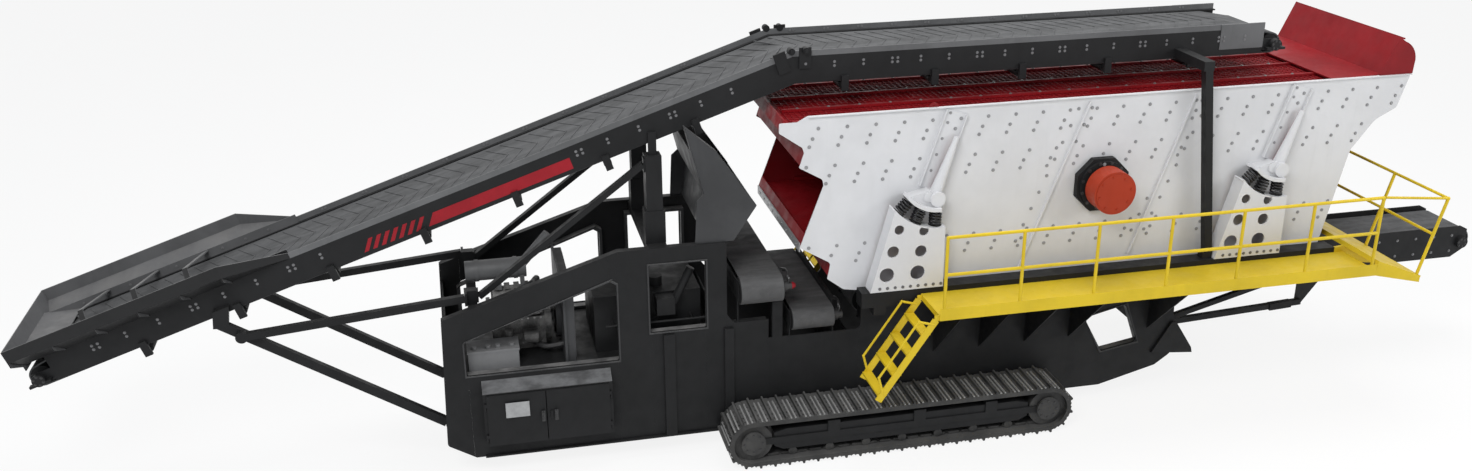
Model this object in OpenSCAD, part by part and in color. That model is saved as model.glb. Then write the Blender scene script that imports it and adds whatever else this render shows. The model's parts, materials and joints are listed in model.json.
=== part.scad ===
// Mobile three-deck vibrating screen on crawler tracks, standing in its working position.
// Millimetres. +X runs along the machine towards the fines conveyor, +Z is up, the ground is z = 0.
// Stations along X are counted from the front foot of the chassis and shifted to the middle at the end.

/* [Tracks] */
// length of one track over its shoes
track_len = 4680; // [4200:20:5000]
// height of one track loop over its shoes
track_h = 700; // [620:10:760]
// width of the track shoes
shoe_w = 600; // [450:10:620]
// width over the outer edges of both tracks
track_over = 3200; // [3160:10:3300]
// number of shoes in one loop
shoe_n = 53; // [46:1:60]
// height of the bar across each shoe
grouser_h = 35; // [20:1:45]
// station of the middle of the tracks
track_x = 5290; // [5100:10:5450]

/* [Chassis] */
// width over the two side plates
chassis_w = 1900; // [1800:10:1920]
// thickness of the side plates
plate_t = 20; // [12:1:25]
// ground clearance of the side plates
belly_z = 260; // [220:5:300]
// height of the power unit
power_z = 2860; // [2800:10:2900]
// height of the low part of the side plates beside the cross conveyors
saddle_z = 1760; // [1740:5:1800]
// height of the side plates below the screen
bed_z = 1880; // [1860:5:1900]
// start of the beams that carry the screen
bearer_x0 = 4720; // [4680:10:4760]
// rear end of the chassis beams below the screen
bed_x1 = 11320; // [11200:10:11400]
// width of the flanges along the plate edges
flange_w = 80; // [60:5:100]

/* [Cabinet] */
// width of the control cabinet
cabinet_w = 1590; // [1500:10:1640]
// height of the cabinet doors
door_h = 690; // [650:10:700]
// how far the cabinet stands out of the side plate
cabinet_out = 150; // [120:5:180]
// thickness of a cabinet door
door_t = 22; // [18:1:30]

/* [Screen box] */
// width over the two side plates of the screen
screen_w = 2260; // [2180:10:2280]
// thickness of the screen side plates
side_t = 16; // [12:1:20]
// height of the lower edge of the screen box
screen_z0 = 2100; // [2080:5:2130]
// height of the screen box
screen_h = 2350; // [2330:5:2370]
// thickness of the deck panels
deck_t = 30; // [20:1:40]
// spacing of the deck cross tubes
deck_pitch = 620; // [560:10:700]
// side of the square deck cross tubes
deck_tube = 90; // [70:5:110]
// lean of the lips, ribs and brackets from upright, in degrees
lean = 19; // [17:0.5:21]

/* [Exciter and springs] */
// radius of the exciter flange over its corners
exciter_r = 375; // [340:5:390]
// radius of the exciter cap
cap_r = 280; // [240:5:300]
// depth of the exciter cap
cap_d = 250; // [200:5:280]
// outside radius of a coil spring
spring_r = 82; // [70:1:86]
// radius of the spring wire
wire_r = 14; // [11:0.5:16]
// turns of wire in one spring
turns = 4; // [3:1:5]
// distance between the two spring seats on one side
seat_pitch = 4710; // [4690:5:4730]

/* [Feed conveyor] */
// width over the two stringers of the feed conveyor
conveyor_w = 1240; // [1200:10:1280]
// depth of the stringers
stringer_h = 325; // [315:5:340]
// width of the feed belt
belt_w = 1070; // [1000:10:1080]
// slope of the inclined part, in degrees
incline = 18.6; // [18.2:0.1:18.9]
// level distance from the tail pulley to the knee
incline_run = 9020; // [8900:10:9100]
// length of the level part
level_run = 6450; // [6300:10:6600]
// height of the level stringers
conveyor_z = 5050; // [5030:5:5080]
// height of the skirt plates above the stringers
skirt_h = 70; // [60:5:80]
// radius of the belt loop round the pulleys
loop_r = 135; // [130:1:140]
// lift of the carrying rollers above the pulleys
lift = 80; // [60:1:85]
// spacing of the rollers
roller_pitch = 1160; // [1140:10:1170]

/* [Feed hopper] */
// width of the hopper over its rim
hopper_w = 1780; // [1700:10:1900]
// length of the hopper rim
hopper_len = 2540; // [2400:10:2700]
// height of the rim above the stringers
hopper_rise = 320; // [280:5:360]

/* [Walkways] */
// width over the outer edges of both walkways
walk_over = 4160; // [4100:10:4300]
// height of the walkway floors
walk_z = 2120; // [2100:5:2140]
// left end of the walkways
walk_x0 = 5490; // [5400:10:5560]
// right end of the walkways
walk_x1 = 11460; // [11440:5:11500]
// height of the top rail above the floor
rail_h = 1000; // [900:10:1100]
// radius of the rail tubes
rail_r = 21; // [16:1:25]
// number of bays between the rail posts
rail_bays = 6; // [5:1:7]

/* [Fines conveyor] */
// width over the two stringers of the fines conveyor
fines_w = 880; // [820:10:920]
// depth of the fines stringers
fines_h = 480; // [440:5:500]
// radius of the fines belt loop
fines_r = 190; // [170:5:195]
// station of the fines head pulley
fines_x1 = 14160; // [14000:10:14300]

/* [Hidden] */
$fn = 48;
gap = 0.3;
slack = 5;
black = [0.10, 0.10, 0.11];
grey = [0.55, 0.56, 0.56];
white = [0.88, 0.88, 0.86];
red = [0.62, 0.10, 0.09];
yellow = [0.90, 0.70, 0.12];

// feed conveyor centre line: tail, knee and head
over_belt = 90;
top_off = over_belt + loop_r;
low_off = stringer_h - top_off;
knee = [4050, conveyor_z - top_off];
tail = [knee[0] - incline_run, knee[1] - incline_run * tan(incline)];
head = [knee[0] + level_run, knee[1]];
incline_len = incline_run / cos(incline);
mitre = tan(incline / 2);
conveyor_y = conveyor_w / 2;
web_t = 16;
belt_t = 18;

// hopper in the sloping frame of the tail
hopper_u0 = -85;
hopper_u1 = hopper_u0 + hopper_len;
hopper_v = top_off + hopper_rise;
hopper_t = 12;
taper_u = hopper_u1 + 720;

// ends of the machine, which set the middle
end_x0 = tail[0] + hopper_u0 * cos(incline) - hopper_v * sin(incline);
end_x1 = fines_x1 + fines_r;
mid_x = (end_x0 + end_x1) / 2;

// half widths
chassis_y = chassis_w / 2;
inner_y = chassis_y - plate_t;
track_y1 = track_over / 2;
track_y0 = track_y1 - shoe_w;
screen_y = screen_w / 2;
deck_y = screen_y - side_t;
walk_y = walk_over / 2;
bearer_y0 = screen_y + 50;
bearer_y1 = bearer_y0 + 220;
bearer_z0 = bed_z + 110;
bearer_z1 = bearer_z0 + 200;
screen_z1 = screen_z0 + screen_h;
fines_y = fines_w / 2;

// Helpers

function unit(v) = v / norm(v);
function across(v) = [-v[1], v[0]];
function between(a, b, t) = a + (b - a) * t;
function last(list) = list[len(list) - 1];

// points of an arc from angle a0 to a1
function arc(c, r, a0, a1, n) =
  [for (i = [0:n]) c + r * [cos(a0 + (a1 - a0) * i / n), sin(a0 + (a1 - a0) * i / n)]];

// corner q between its neighbours p and s, rounded with radius r
function corner(p, q, s, r) = r == 0 ? [q] :
  let (u = unit(p - q), v = unit(s - q), half = acos(u * v) / 2,
       a = q + u * r / tan(half), b = q + v * r / tan(half), c = q + unit(u + v) * r / sin(half))
  [for (i = [0:5]) c + r * unit(between(a, b, i / 5) - c)];

// closed outline with one radius for each corner: [x, z, r]
function rounded(pts) = let (n = len(pts), p = [for (q = pts) [q[0], q[1]]])
  [for (i = [0:n - 1]) each corner(p[(i + n - 1) % n], p[i], p[(i + 1) % n], pts[i][2])];

// moves stations to the middle of the machine
module placed() {
  translate([-mid_x, 0, 0]) children();
}

// the same piece on the near and the far side
module both() {
  children();
  mirror([0, 1, 0]) children();
}

// an outline in the XZ plane made into a slab from y0 to y1
module slab(y0, y1) {
  translate([0, y1, 0]) rotate([90, 0, 0]) linear_extrude(y1 - y0) children();
}

// an outline in the YZ plane made into a slab from x0 to x1
module wall(x0, x1) {
  translate([x0, 0, 0]) rotate([90, 0, 90]) linear_extrude(x1 - x0) children();
}

// a straight strip from a to b, h wide
module strip(a, b, h) {
  n = across(unit(b - a)) * h / 2;
  polygon([a - n, b - n, b + n, a + n]);
}

// a strip with round ends
module link(a, b, r) {
  strip(a, b, 2 * r);
  translate(a) circle(r);
  translate(b) circle(r);
}

module block(x, y, z) {
  translate([x[0], y[0], z[0]]) cube([x[1] - x[0], y[1] - y[0], z[1] - z[0]]);
}

// a cylinder lying along Y
module roller(p, r, y0, y1) {
  slab(y0, y1) translate(p) circle(r);
}

// a round bar between two points
module bar(a, b, r) {
  d = b - a;
  translate(a) rotate([0, acos(d[2] / norm(d)), atan2(d[1], d[0])]) cylinder(r = r, h = norm(d));
}

// sloping frame with its origin on the tail pulley
module sloped() {
  translate([tail[0], 0, tail[1]]) rotate([0, -incline, 0]) children();
}

// Tracks

track_zc = track_h / 2;
tread_r = track_zc - grouser_h;
link_t = 60;
loop_in = tread_r - link_t;
track_l = track_len - track_h;
track_p = 2 * track_l + 2 * PI * tread_r;
sprocket_x = track_x + track_l / 2;
idler_x = track_x - track_l / 2;

// point of the track loop at path share t and radius r
function tread(t, r) = let (s = t * track_p, q = PI * tread_r, d = 180 / q,
    a = (s - track_l) * d - 90, b = (s - 2 * track_l - q) * d + 90)
  s < track_l ? [idler_x + s, track_zc - r] :
  s < track_l + q ? [sprocket_x, track_zc] + r * [cos(a), sin(a)] :
  s < 2 * track_l + q ? [sprocket_x - (s - track_l - q), track_zc + r] :
  [idler_x, track_zc] + r * [cos(b), sin(b)];

module track_belts() {
  color(black) placed() both() slab(-track_y1, -track_y0) difference() {
    polygon([for (i = [0:shoe_n - 1], k = [[0.02, -8], [0.10, 0], [0.38, 0], [0.42, grouser_h],
      [0.54, grouser_h], [0.58, 0], [0.90, 0], [0.98, -8]]) tread((i + k[0]) / shoe_n, tread_r + k[1])]);
    link([idler_x, track_zc], [sprocket_x, track_zc], loop_in);
  }
}

track_roller_r = 55;
beam_z0 = grouser_h + link_t + 2 * track_roller_r + 2 * gap;
beam_z1 = track_zc + loop_in - 110;
beam_x0 = idler_x + loop_in + 20;
beam_x1 = sprocket_x - loop_in - 20;
beam_y0 = track_y0 + 60;
beam_y1 = track_y1 - 70;
yoke_h = 90;

module track_frames() {
  color(black) placed() both() {
    slab(-beam_y1, -beam_y0)
      polygon([[beam_x0, beam_z0 + 60], [beam_x0 + 120, beam_z0], [beam_x1 - 120, beam_z0],
        [beam_x1, beam_z0 + 60], [beam_x1, beam_z1 - 40], [beam_x1 - 160, beam_z1],
        [beam_x0 + 160, beam_z1], [beam_x0, beam_z1 - 40]]);
    for (x = [beam_x0 + 700, beam_x0 + 1850, beam_x1 - 600])
      block([x, x + 160], [-beam_y1 - 20, -beam_y1 + 90], [beam_z1 - 130, beam_z1 + 50]);
    block([idler_x, sprocket_x], [-beam_y1 - 20, -beam_y1], [track_zc - yoke_h / 2, track_zc + yoke_h / 2]);
  }
}

module track_wheels() {
  color(black) placed() both() {
    for (x = [idler_x, sprocket_x]) {
      roller([x, track_zc], loop_in - gap, -beam_y1, -beam_y0);
      roller([x, track_zc], loop_in * 0.62, -beam_y1 - 50, -beam_y1 - 20);
    }
    for (i = [0:6])
      roller([beam_x0 + 250 + i * (beam_x1 - beam_x0 - 500) / 6, grouser_h + link_t + track_roller_r + gap],
        track_roller_r, -beam_y1 + 20, -beam_y0 - 20);
  }
}

axle_h = 220;
axle_w = 400;
axle_x = [track_x - 1300, track_x + 900];

module track_cross_beams() {
  color(black) placed() for (x = axle_x) {
    both() block([x, x + axle_w], [-beam_y0, -chassis_y], [track_zc - axle_h / 2, track_zc + axle_h / 2]);
    block([x, x + axle_w], [-inner_y, inner_y], [track_zc - axle_h / 2, track_zc + axle_h / 2]);
  }
}

// Chassis

// right end of the power unit, ends of the notch for the lower cross conveyor, start of the screen bed
power_x1 = 3105;
notch_x0 = 3640;
notch_z = saddle_z - 260;
bed_x0 = 4860;
arm_z = 1500;
slope_top = [[-390, 2170], [1760, power_z]];

chassis_outline = [[-110, belly_z, 0], [8310, belly_z, 200], [9130, 470, 100], [9370, 640, 120],
  [9320, arm_z, 60], [bed_x1, arm_z, 0], [bed_x1, bed_z, 0], [bed_x0, bed_z, 0], [bed_x0, notch_z, 60],
  [notch_x0, notch_z, 0], [notch_x0, saddle_z, 0], [power_x1 + 90, saddle_z, 60],
  [power_x1, saddle_z + 120, 0], [power_x1, power_z, 0], [1760, power_z, 0], [-390, 2170, 40],
  [-450, 470, 60]];
engine_window = [[-140, 1405, 30], [1725, 1405, 30], [1725, 2425, 40], [1640, 2480, 40], [-140, 1870, 40]];
tank_window = [[2135, 1740, 30], [2840, 1740, 30], [2840, 2640, 30], [2135, 2640, 30]];
rear_window = [[8300, 780, 60], [8820, 870, 60], [8600, 1440, 60], [8010, 1300, 60]];
cabinet_x0 = 20;
cabinet_x1 = cabinet_x0 + cabinet_w;
cabinet_z0 = 480;
shoulder_z = cabinet_z0 + door_h + 30;
cabinet_z1 = shoulder_z + 120;

// weld seams that part a side into plates with straight edges
seam_end = 60;
nook = 10;
arm_seam = [[bed_x0 - 60, arm_z + 18], [9350, arm_z - 25]];
rear_seam = 7900;

// a seam from a point down to below the belly or up to above the power unit
function drop(x, z) = [[x, z], [x, belly_z - seam_end]];
function rise(x, z) = [[x, z], [x, power_z + seam_end]];

// a point of the long seam below the arm
function on_arm(x) = let (a = arm_seam[0], b = arm_seam[1]) between(a, b, (x - a[0]) / (b[0] - a[0]));

window_seams = [for (w = [engine_window, tank_window])
  each [drop(w[0][0] + nook, w[0][1] + 20), drop(w[1][0] - nook, w[1][1] + 20)]];
top_seams = [rise(engine_window[4][0] + nook, engine_window[4][1] - 20),
  rise(engine_window[3][0], engine_window[3][1] - 40), [[1705, 2415], [1775, power_z + seam_end]],
  rise(tank_window[3][0] + nook, tank_window[3][1] - 20),
  rise(tank_window[2][0] - nook, tank_window[2][1] - 20)];
bed_seams = [drop(power_x1 + 5, saddle_z + 135), drop(power_x1 + 90, saddle_z + 30),
  drop(notch_x0 + 2, notch_z + 20), drop(bed_x0 - 18, notch_z + 30), arm_seam];
rear_seams = [drop(rear_seam, on_arm(rear_seam)[1] + gap), [[8075, 1282], [rear_seam - gap, 1290]],
  [[8585, 1405], on_arm(8600) + [0, gap]], [[8760, 900], [9420, 870]], drop(8310, 820)];
cabinet_seams = [for (x = [cabinet_x0 + 5, cabinet_x1 - 5]) drop(x, engine_window[0][1] + 20)];
seams = concat(window_seams, top_seams, bed_seams, rear_seams, cabinet_seams);

module side_plate() {
  slab(-chassis_y, -inner_y) difference() {
    polygon(rounded(chassis_outline));
    polygon(rounded(engine_window));
    polygon(rounded(tank_window));
    polygon(rounded(rear_window));
    for (line = seams) strip(line[0], line[1], gap);
    children();
  }
}

module near_side_plate() {
  color(black) placed() side_plate()
    translate([cabinet_x0, cabinet_z0]) square([cabinet_w, cabinet_z1 - cabinet_z0]);
}

module far_side_plate() {
  color(black) placed() mirror([0, 1, 0]) side_plate();
}

rib_t = 40;
rib_z = 1680;

// folded top edges inside the sides, ribs and foot strips outside them
module chassis_edges() {
  color(black) placed() both() {
    slab(-inner_y, -inner_y + flange_w) {
      polygon([slope_top[0], slope_top[1], slope_top[1] - [0, plate_t], slope_top[0] - [0, plate_t]]);
      translate([slope_top[1][0] + gap, power_z - plate_t])
        square([power_x1 - slope_top[1][0] - gap, plate_t]);
      translate([power_x1 + 90, saddle_z - plate_t]) square([notch_x0 - power_x1 - 110, plate_t]);
    }
    slab(-chassis_y - rib_t, -chassis_y) {
      translate([2290, belly_z + plate_t + gap]) square([140, rib_z - belly_z]);
      translate([power_x1 - 40, belly_z + plate_t + gap]) square([120, rib_z - belly_z]);
      polygon([[9040, 680], [9660, 620], [9640, 700], [9370, 1110], [9300, 1110]]);
      translate([0, belly_z]) square([axle_x[0] - 10, plate_t]);
    }
  }
}

front_x = -380;
rear_wall_x = power_x1 - 60;
tow_x = 9300;
lug_w = 60;
tray_z = cabinet_z1 + 30;
lug_z = 2240;
post_z = power_z - plate_t;
post_x = [2170, 2370];
web_x = axle_x[0] + axle_w + 390;

module chassis_cross_plates() {
  color(black) placed() {
    block([front_x, front_x + plate_t], [-inner_y, inner_y], [500, 1900]);
    block([front_x + plate_t + gap, rear_wall_x - gap], [-inner_y, inner_y], [tray_z - plate_t, tray_z]);
    block([0, rear_wall_x - gap], [-inner_y, inner_y], [belly_z, belly_z + plate_t]);
    block([rear_wall_x, rear_wall_x + plate_t], [-inner_y, inner_y], [belly_z, saddle_z - 60]);
    block([web_x, web_x + plate_t], [-inner_y, inner_y], [belly_z, 1300]);
    block([tow_x - 80, tow_x], [-inner_y, inner_y], [720, 1020]);
    block([post_x[0] - 20, post_x[1] + 20], [-inner_y, inner_y], [post_z - 120, post_z]);
    block([-lug_w, lug_w], [-inner_y, inner_y], [lug_z - 120, lug_z]);
    both() block([-lug_w, lug_w], [-conveyor_y - 80, -conveyor_y + 40], [lug_z, lug_z + 180]);
  }
}

sleeper_n = 6;
sleeper_w = 160;

module screen_bearers() {
  color(black) placed() {
    both() block([bearer_x0, bed_x1], [-bearer_y1, -bearer_y0], [bearer_z0, bearer_z1]);
    for (i = [0:sleeper_n - 1])
      let (x = bed_x0 + 20 + i * (bed_x1 - bed_x0 - 20 - sleeper_w) / (sleeper_n - 1))
        block([x, x + sleeper_w], [-bearer_y1, bearer_y1], [bed_z, bearer_z0]);
  }
}

// Power unit

engine_x = 220;
radiator_x = 1080;

module engine() {
  color(grey) placed() translate([engine_x, 0, tray_z]) {
    block([80, 580], [-220, 220], [0, 90]);
    block([0, 660], [-300, 300], [90, 470]);
    block([20, 640], [-230, 230], [470, 640]);
    wall(40, 620) translate([0, 640]) circle(150);
    // flywheel housing, manifold with its ports, alternator, filter and turbocharger
    wall(660, 740) translate([0, 330]) circle(310);
    wall(60, 600) translate([-310, 560]) circle(55);
    for (i = [0:3]) roller([110 + i * 150, 560], 42, -310, -230);
    wall(380, 560) translate([-395, 250]) circle(95);
    translate([200, -350, 140]) cylinder(r = 55, h = 200);
    block([180, 420], [-350, -300], [200, 260]);
    roller([330, 690], 90, -330, -180);
  }
}

module radiator() {
  color(grey) placed() translate([radiator_x, 0, tray_z]) {
    block([0, 30], [-800, 800], [0, 1000]);
    block([30, 130], [-760, 760], [0, 950]);
    wall(-60, 0) translate([0, 450]) difference() {
      circle(400);
      circle(370);
    }
  }
}

module battery_box() {
  color(grey) placed() {
    block([-110, 510], [-760, -440], [tray_z, tray_z + 250]);
    block([-120, 520], [-770, -430], [tray_z + 250, tray_z + 280]);
    for (x = [-30, 140, 260, 430]) translate([x, -680, tray_z + 280]) cylinder(r = 32, h = 40);
  }
}

muffler_z = tray_z + 1040;

module muffler() {
  color(grey) placed() {
    for (x = [330, 620]) block([x, x + 50], [-110, 110], [tray_z + 790, muffler_z - 60]);
    wall(-60, 700) translate([0, muffler_z]) circle(130);
    for (x = [60, 540]) wall(x, x + 50) translate([0, muffler_z]) circle(140);
    bar([650, 0, muffler_z + 40], [1000, 0, muffler_z + 420], 60);
  }
}

module hydraulic_tank() {
  color(black) placed() {
    block([1480, 2840], [-560, 560], [tray_z, tray_z + 760]);
    translate([2300, -300, tray_z + 760]) cylinder(r = 90, h = 120);
    // valve block with its return pipe and the guard rail
    block([2250, 2480], [-760, -560], [tray_z + 520, tray_z + 740]);
    bar([2480, -660, tray_z + 640], [2700, -660, tray_z + 1100], 55);
    bar([1600, -740, tray_z + 430], [rear_wall_x - gap, -740, tray_z + 430], 18);
    for (x = [1700, 2700]) bar([x, -745, tray_z + 430], [x, -560, tray_z + 430], 14);
  }
}

cabinet_y0 = -chassis_y - cabinet_out;
cabinet_y1 = -480;
shell = 10;
door_gap = 10;
door_x = cabinet_x0 + cabinet_w * 0.48;
door_z0 = cabinet_z0 + 15;
door_y = cabinet_y0 - slack - door_t;
door_l = cabinet_x0 + 42;
door_r = cabinet_x1 - 42;
hinge_y = door_y + door_t / 2;
hinge_off = 19;
hinge_h = [0.16, 0.78];
knuckle = 45;
knuckle_r = 11;

// one knuckle standing on height z
module hinge_knuckle(x, z) {
  translate([x, hinge_y, z]) cylinder(r = knuckle_r, h = knuckle);
}

module control_cabinet() {
  color(black) placed() for (x = [door_l - hinge_off, door_r + hinge_off], h = hinge_h) {
    hinge_knuckle(x, door_z0 + door_h * h - knuckle - gap);
    block([x - knuckle_r, x + knuckle_r], [hinge_y, cabinet_y0],
      [door_z0 + door_h * h - knuckle - gap, door_z0 + door_h * h - gap]);
  }
  color(black) placed() difference() {
    wall(cabinet_x0, cabinet_x1) polygon([[cabinet_y0, cabinet_z0], [cabinet_y1, cabinet_z0],
      [cabinet_y1, cabinet_z1], [-chassis_y, cabinet_z1], [cabinet_y0, shoulder_z]]);
    wall(cabinet_x0 + shell, cabinet_x1 - shell) polygon([[cabinet_y0 + shell, cabinet_z0 + shell],
      [cabinet_y1 - shell, cabinet_z0 + shell], [cabinet_y1 - shell, cabinet_z1 - shell],
      [-chassis_y, cabinet_z1 - shell], [cabinet_y0 + shell, shoulder_z - shell]]);
    block([door_l + 15, door_r - 15], [cabinet_y0 - shell, cabinet_y0 + 2 * shell],
      [door_z0 + 20, door_z0 + door_h - 20]);
  }
}

// one door leaf from x0 to x1, hinged at xh, with its handle beside xk
module door_leaf(x0, x1, xh, xk) {
  block([x0, x1], [door_y, door_y + door_t], [door_z0, door_z0 + door_h]);
  for (h = hinge_h) let (z = door_z0 + door_h * h) {
    hinge_knuckle(xh, z);
    block([min(xh, x0), max(xh, x1)], [door_y, hinge_y], [z, z + knuckle]);
  }
  block([xk - 15, xk + 15], [door_y - 25, door_y], [door_z0 + door_h * 0.45, door_z0 + door_h * 0.6]);
}

module left_door() {
  color(black) placed()
    door_leaf(door_l, door_x - door_gap / 2, door_l - hinge_off, door_x - 60);
}

module right_door() {
  color(black) placed()
    door_leaf(door_x + door_gap / 2, door_r, door_r + hinge_off, door_x + 60);
}

// Feed conveyor

tail_u = 170;
head_u = -170;
lip_w = 70;
arm_h = 75;
arm_end = 70;
ramp = 420;

// sloping band between two offsets from the centre line, from u0 to the knee
module sloped_band(u0, v0, v1) {
  polygon([[u0, v0], [incline_len + v0 * mitre, v0], [incline_len + v1 * mitre, v1], [u0, v1]]);
}

// level band between two offsets, from the knee to u1 past the head
module level_band(u1, v0, v1) {
  polygon([knee + [-v0 * mitre, v0], head + [u1, v0], head + [u1, v1], knee + [-v1 * mitre, v1]]);
}

// channel section of the near stringer, in y and offset from the centre line
module channel_section() {
  difference() {
    translate([-conveyor_y, -low_off]) square([lip_w, stringer_h]);
    translate([-conveyor_y + web_t, -low_off + web_t]) square([lip_w, stringer_h - 2 * web_t]);
  }
}

// plate of the folding joint, bolted to the outside of a stringer
module knuckle(u) {
  slab(-conveyor_y - 25 - gap, -conveyor_y - gap) translate([u, top_off - 150]) square([150, 260]);
}

module incline_stringers() {
  color(black) placed() both() sloped() {
    intersection() {
      wall(tail_u, incline_len + stringer_h) channel_section();
      slab(-2 * conveyor_y, 0) sloped_band(-stringer_h, -stringer_h, stringer_h);
    }
    // arms that carry the tail pulley
    slab(-conveyor_y, -conveyor_y + web_t)
      translate([-arm_end, -arm_h]) square([tail_u + arm_end + web_t, 2 * arm_h]);
    knuckle(incline_len - 190);
  }
}

module level_stringers() {
  color(black) placed() both() {
    intersection() {
      translate([0, 0, knee[1]]) wall(knee[0] - stringer_h, head[0] + head_u) channel_section();
      slab(-2 * conveyor_y, 0) level_band(stringer_h, -stringer_h, stringer_h);
    }
    slab(-conveyor_y, -conveyor_y + web_t)
      translate(head + [head_u - web_t, -arm_h]) square([arm_end - head_u + web_t, 2 * arm_h]);
    translate([knee[0], 0, knee[1]]) knuckle(40);
  }
}

// a vector of the sloping frame, level
function turned(v) = [v[0] * cos(incline) - v[1] * sin(incline), v[0] * sin(incline) + v[1] * cos(incline)];

module loop_shape(r) {
  link(tail, knee, r);
  link(knee, head, r);
  // the carrying run, lifted by its rollers
  polygon([tail + turned([0, 0]), tail + turned([0, r]), tail + turned([ramp, r + lift]),
    knee + [-(r + lift) * mitre, r + lift], head + [-ramp, r + lift], head + [0, r], head, knee]);
}

module feed_belt() {
  color(grey) placed() slab(-belt_w / 2, belt_w / 2) difference() {
    loop_shape(loop_r);
    loop_shape(loop_r - belt_t);
  }
}

roller_r = 50;
carry_v = loop_r + lift - belt_t - gap - roller_r;
return_v = -loop_r - gap - roller_r;

// one carrying roller, one return roller with its hangers, at u along the run
module roller_set(u) {
  roller([u, carry_v], roller_r, -belt_w / 2, belt_w / 2);
  roller([u, carry_v], 20, -conveyor_y + web_t, conveyor_y - web_t);
  roller([u + 300, return_v], roller_r, -belt_w / 2, belt_w / 2);
  roller([u + 300, return_v], 20, -conveyor_y - 40, conveyor_y + 40);
  both() block([u + 255, u + 345], [-conveyor_y - 40, -conveyor_y], [return_v - 45, -low_off + 60]);
}

module belt_rollers() {
  color(black) placed() {
    sloped() for (i = [0:floor((incline_len - 1900) / roller_pitch)]) roller_set(920 + i * roller_pitch);
    translate([knee[0], 0, knee[1]])
      for (i = [0:floor((level_run - 1500) / roller_pitch)]) roller_set(320 + i * roller_pitch);
  }
}

module pulley(p) {
  roller(p, loop_r - belt_t - gap, -belt_w / 2 + 10, belt_w / 2 - 10);
  roller(p, 40, -conveyor_y + web_t, conveyor_y - web_t);
  both() slab(-conveyor_y - 70, -conveyor_y) {
    translate(p) circle(75);
    translate(p + [-130, -60]) square([260, 30]);
  }
}

module tail_pulley() {
  color(black) placed() sloped() pulley([0, 0]);
}

module head_pulley() {
  color(black) placed() pulley(head);
}

cover_len = 620;

module skirt_plates() {
  color(grey) placed() both() {
    sloped() slab(-conveyor_y, -conveyor_y + 12) sloped_band(taper_u, top_off, top_off + skirt_h);
    slab(-conveyor_y, -conveyor_y + 12) level_band(head_u, top_off, top_off + skirt_h);
    // cover plate beside the head
    slab(-conveyor_y - 10, -conveyor_y)
      translate(head + [head_u - cover_len, -30]) square([cover_len, top_off + skirt_h + 30]);
  }
}

hopper_y = hopper_w / 2;
rib_n = 6;

rim_h = 150;
board_h = 110;
board_y = conveyor_y - 30;

// flared lower half and upright upper half of one hopper side
function flare(t) = [[-conveyor_y + t, top_off], [-conveyor_y, top_off], [-hopper_y, hopper_v - rim_h],
  [-hopper_y + t, hopper_v - rim_h]];
function rim(t) = [[-hopper_y, hopper_v - rim_h], [-hopper_y + t, hopper_v - rim_h],
  [-hopper_y + t, hopper_v], [-hopper_y, hopper_v]];

// the skirt section at height v0 to v1 that one half of the side runs out to
function run_out(v0, v1) = [[-conveyor_y, v0], [-conveyor_y + hopper_t, v0], [-conveyor_y + hopper_t, v1],
  [-conveyor_y, v1]];

// one half of the side from the hopper to the skirts
module taper(section, v0, v1) {
  hull() {
    wall(hopper_u1 - 1, hopper_u1) polygon(section);
    wall(taper_u - 1, taper_u) polygon(run_out(v0, v1));
  }
}

// bent tie from one skirt board to the other
module hopper_tie(u) {
  a = [-board_y - 5, top_off + board_h - 20];
  b = [-board_y + 160, hopper_v - 20];
  c = [board_y + 5, top_off + board_h - 20];
  wall(u, u + 60) {
    strip(a, b, 14);
    strip(b, c, 14);
    translate(b) circle(7);
  }
}

module feed_hopper() {
  color(grey) placed() sloped() {
    both() {
      wall(hopper_u0, hopper_u1) {
        polygon(flare(hopper_t));
        polygon(rim(hopper_t));
      }
      taper(flare(hopper_t), top_off, top_off + skirt_h / 2);
      taper(rim(hopper_t), top_off + skirt_h / 2, top_off + skirt_h);
      for (i = [0:rib_n - 1]) let (u = hopper_u0 + i * (hopper_len - hopper_t) / (rib_n - 1))
        wall(u, u + hopper_t) polygon([[-conveyor_y, top_off - 20], [-conveyor_y, top_off],
          [-hopper_y, hopper_v - rim_h], [-hopper_y, hopper_v - rim_h - 60]]);
    }
    wall(hopper_u0, hopper_u0 + hopper_t)
      polygon([[-conveyor_y, loop_r + 15], [conveyor_y, loop_r + 15], [conveyor_y, top_off],
        [hopper_y, hopper_v - rim_h], [hopper_y, hopper_v], [-hopper_y, hopper_v],
        [-hopper_y, hopper_v - rim_h], [-conveyor_y, top_off]]);
    // skirt boards beside the belt, the slide down to it and the ties across it
    both() wall(hopper_u0 + hopper_t, taper_u) translate([-board_y - 5, top_off]) square([10, board_h]);
    slab(-board_y - 5, board_y + 5)
      strip([hopper_u0 + hopper_t - 4, top_off + 120], [ramp - 90, top_off + hopper_t / 2 + gap], hopper_t);
    for (i = [1:3]) hopper_tie(hopper_u0 + i * hopper_len / 4 + 150);
  }
}

// Conveyor supports

strut_y = conveyor_y + 80;
strut_h = 110;
strut_top = [-2930, conveyor_z - 2760];
strut_lug = [[-60, -50], [110, -60], [150, 220], [-40, 160]];

module lower_struts() {
  color(black) placed() both() {
    slab(-strut_y, -conveyor_y) strip([-440, 660], strut_top, strut_h);
    block([front_x - 25, front_x], [-strut_y - 20, -conveyor_y + 20], [540, 760]);
    slab(-strut_y, -conveyor_y) strip([-440, 660], [front_x - 25, 650], 100);
    // lug bolted to the stringer
    slab(-strut_y, -conveyor_y) polygon([for (p = strut_lug) strut_top + p]);
  }
}

strut_knot = between(strut_top, [-440, 660], 0.1);

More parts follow.
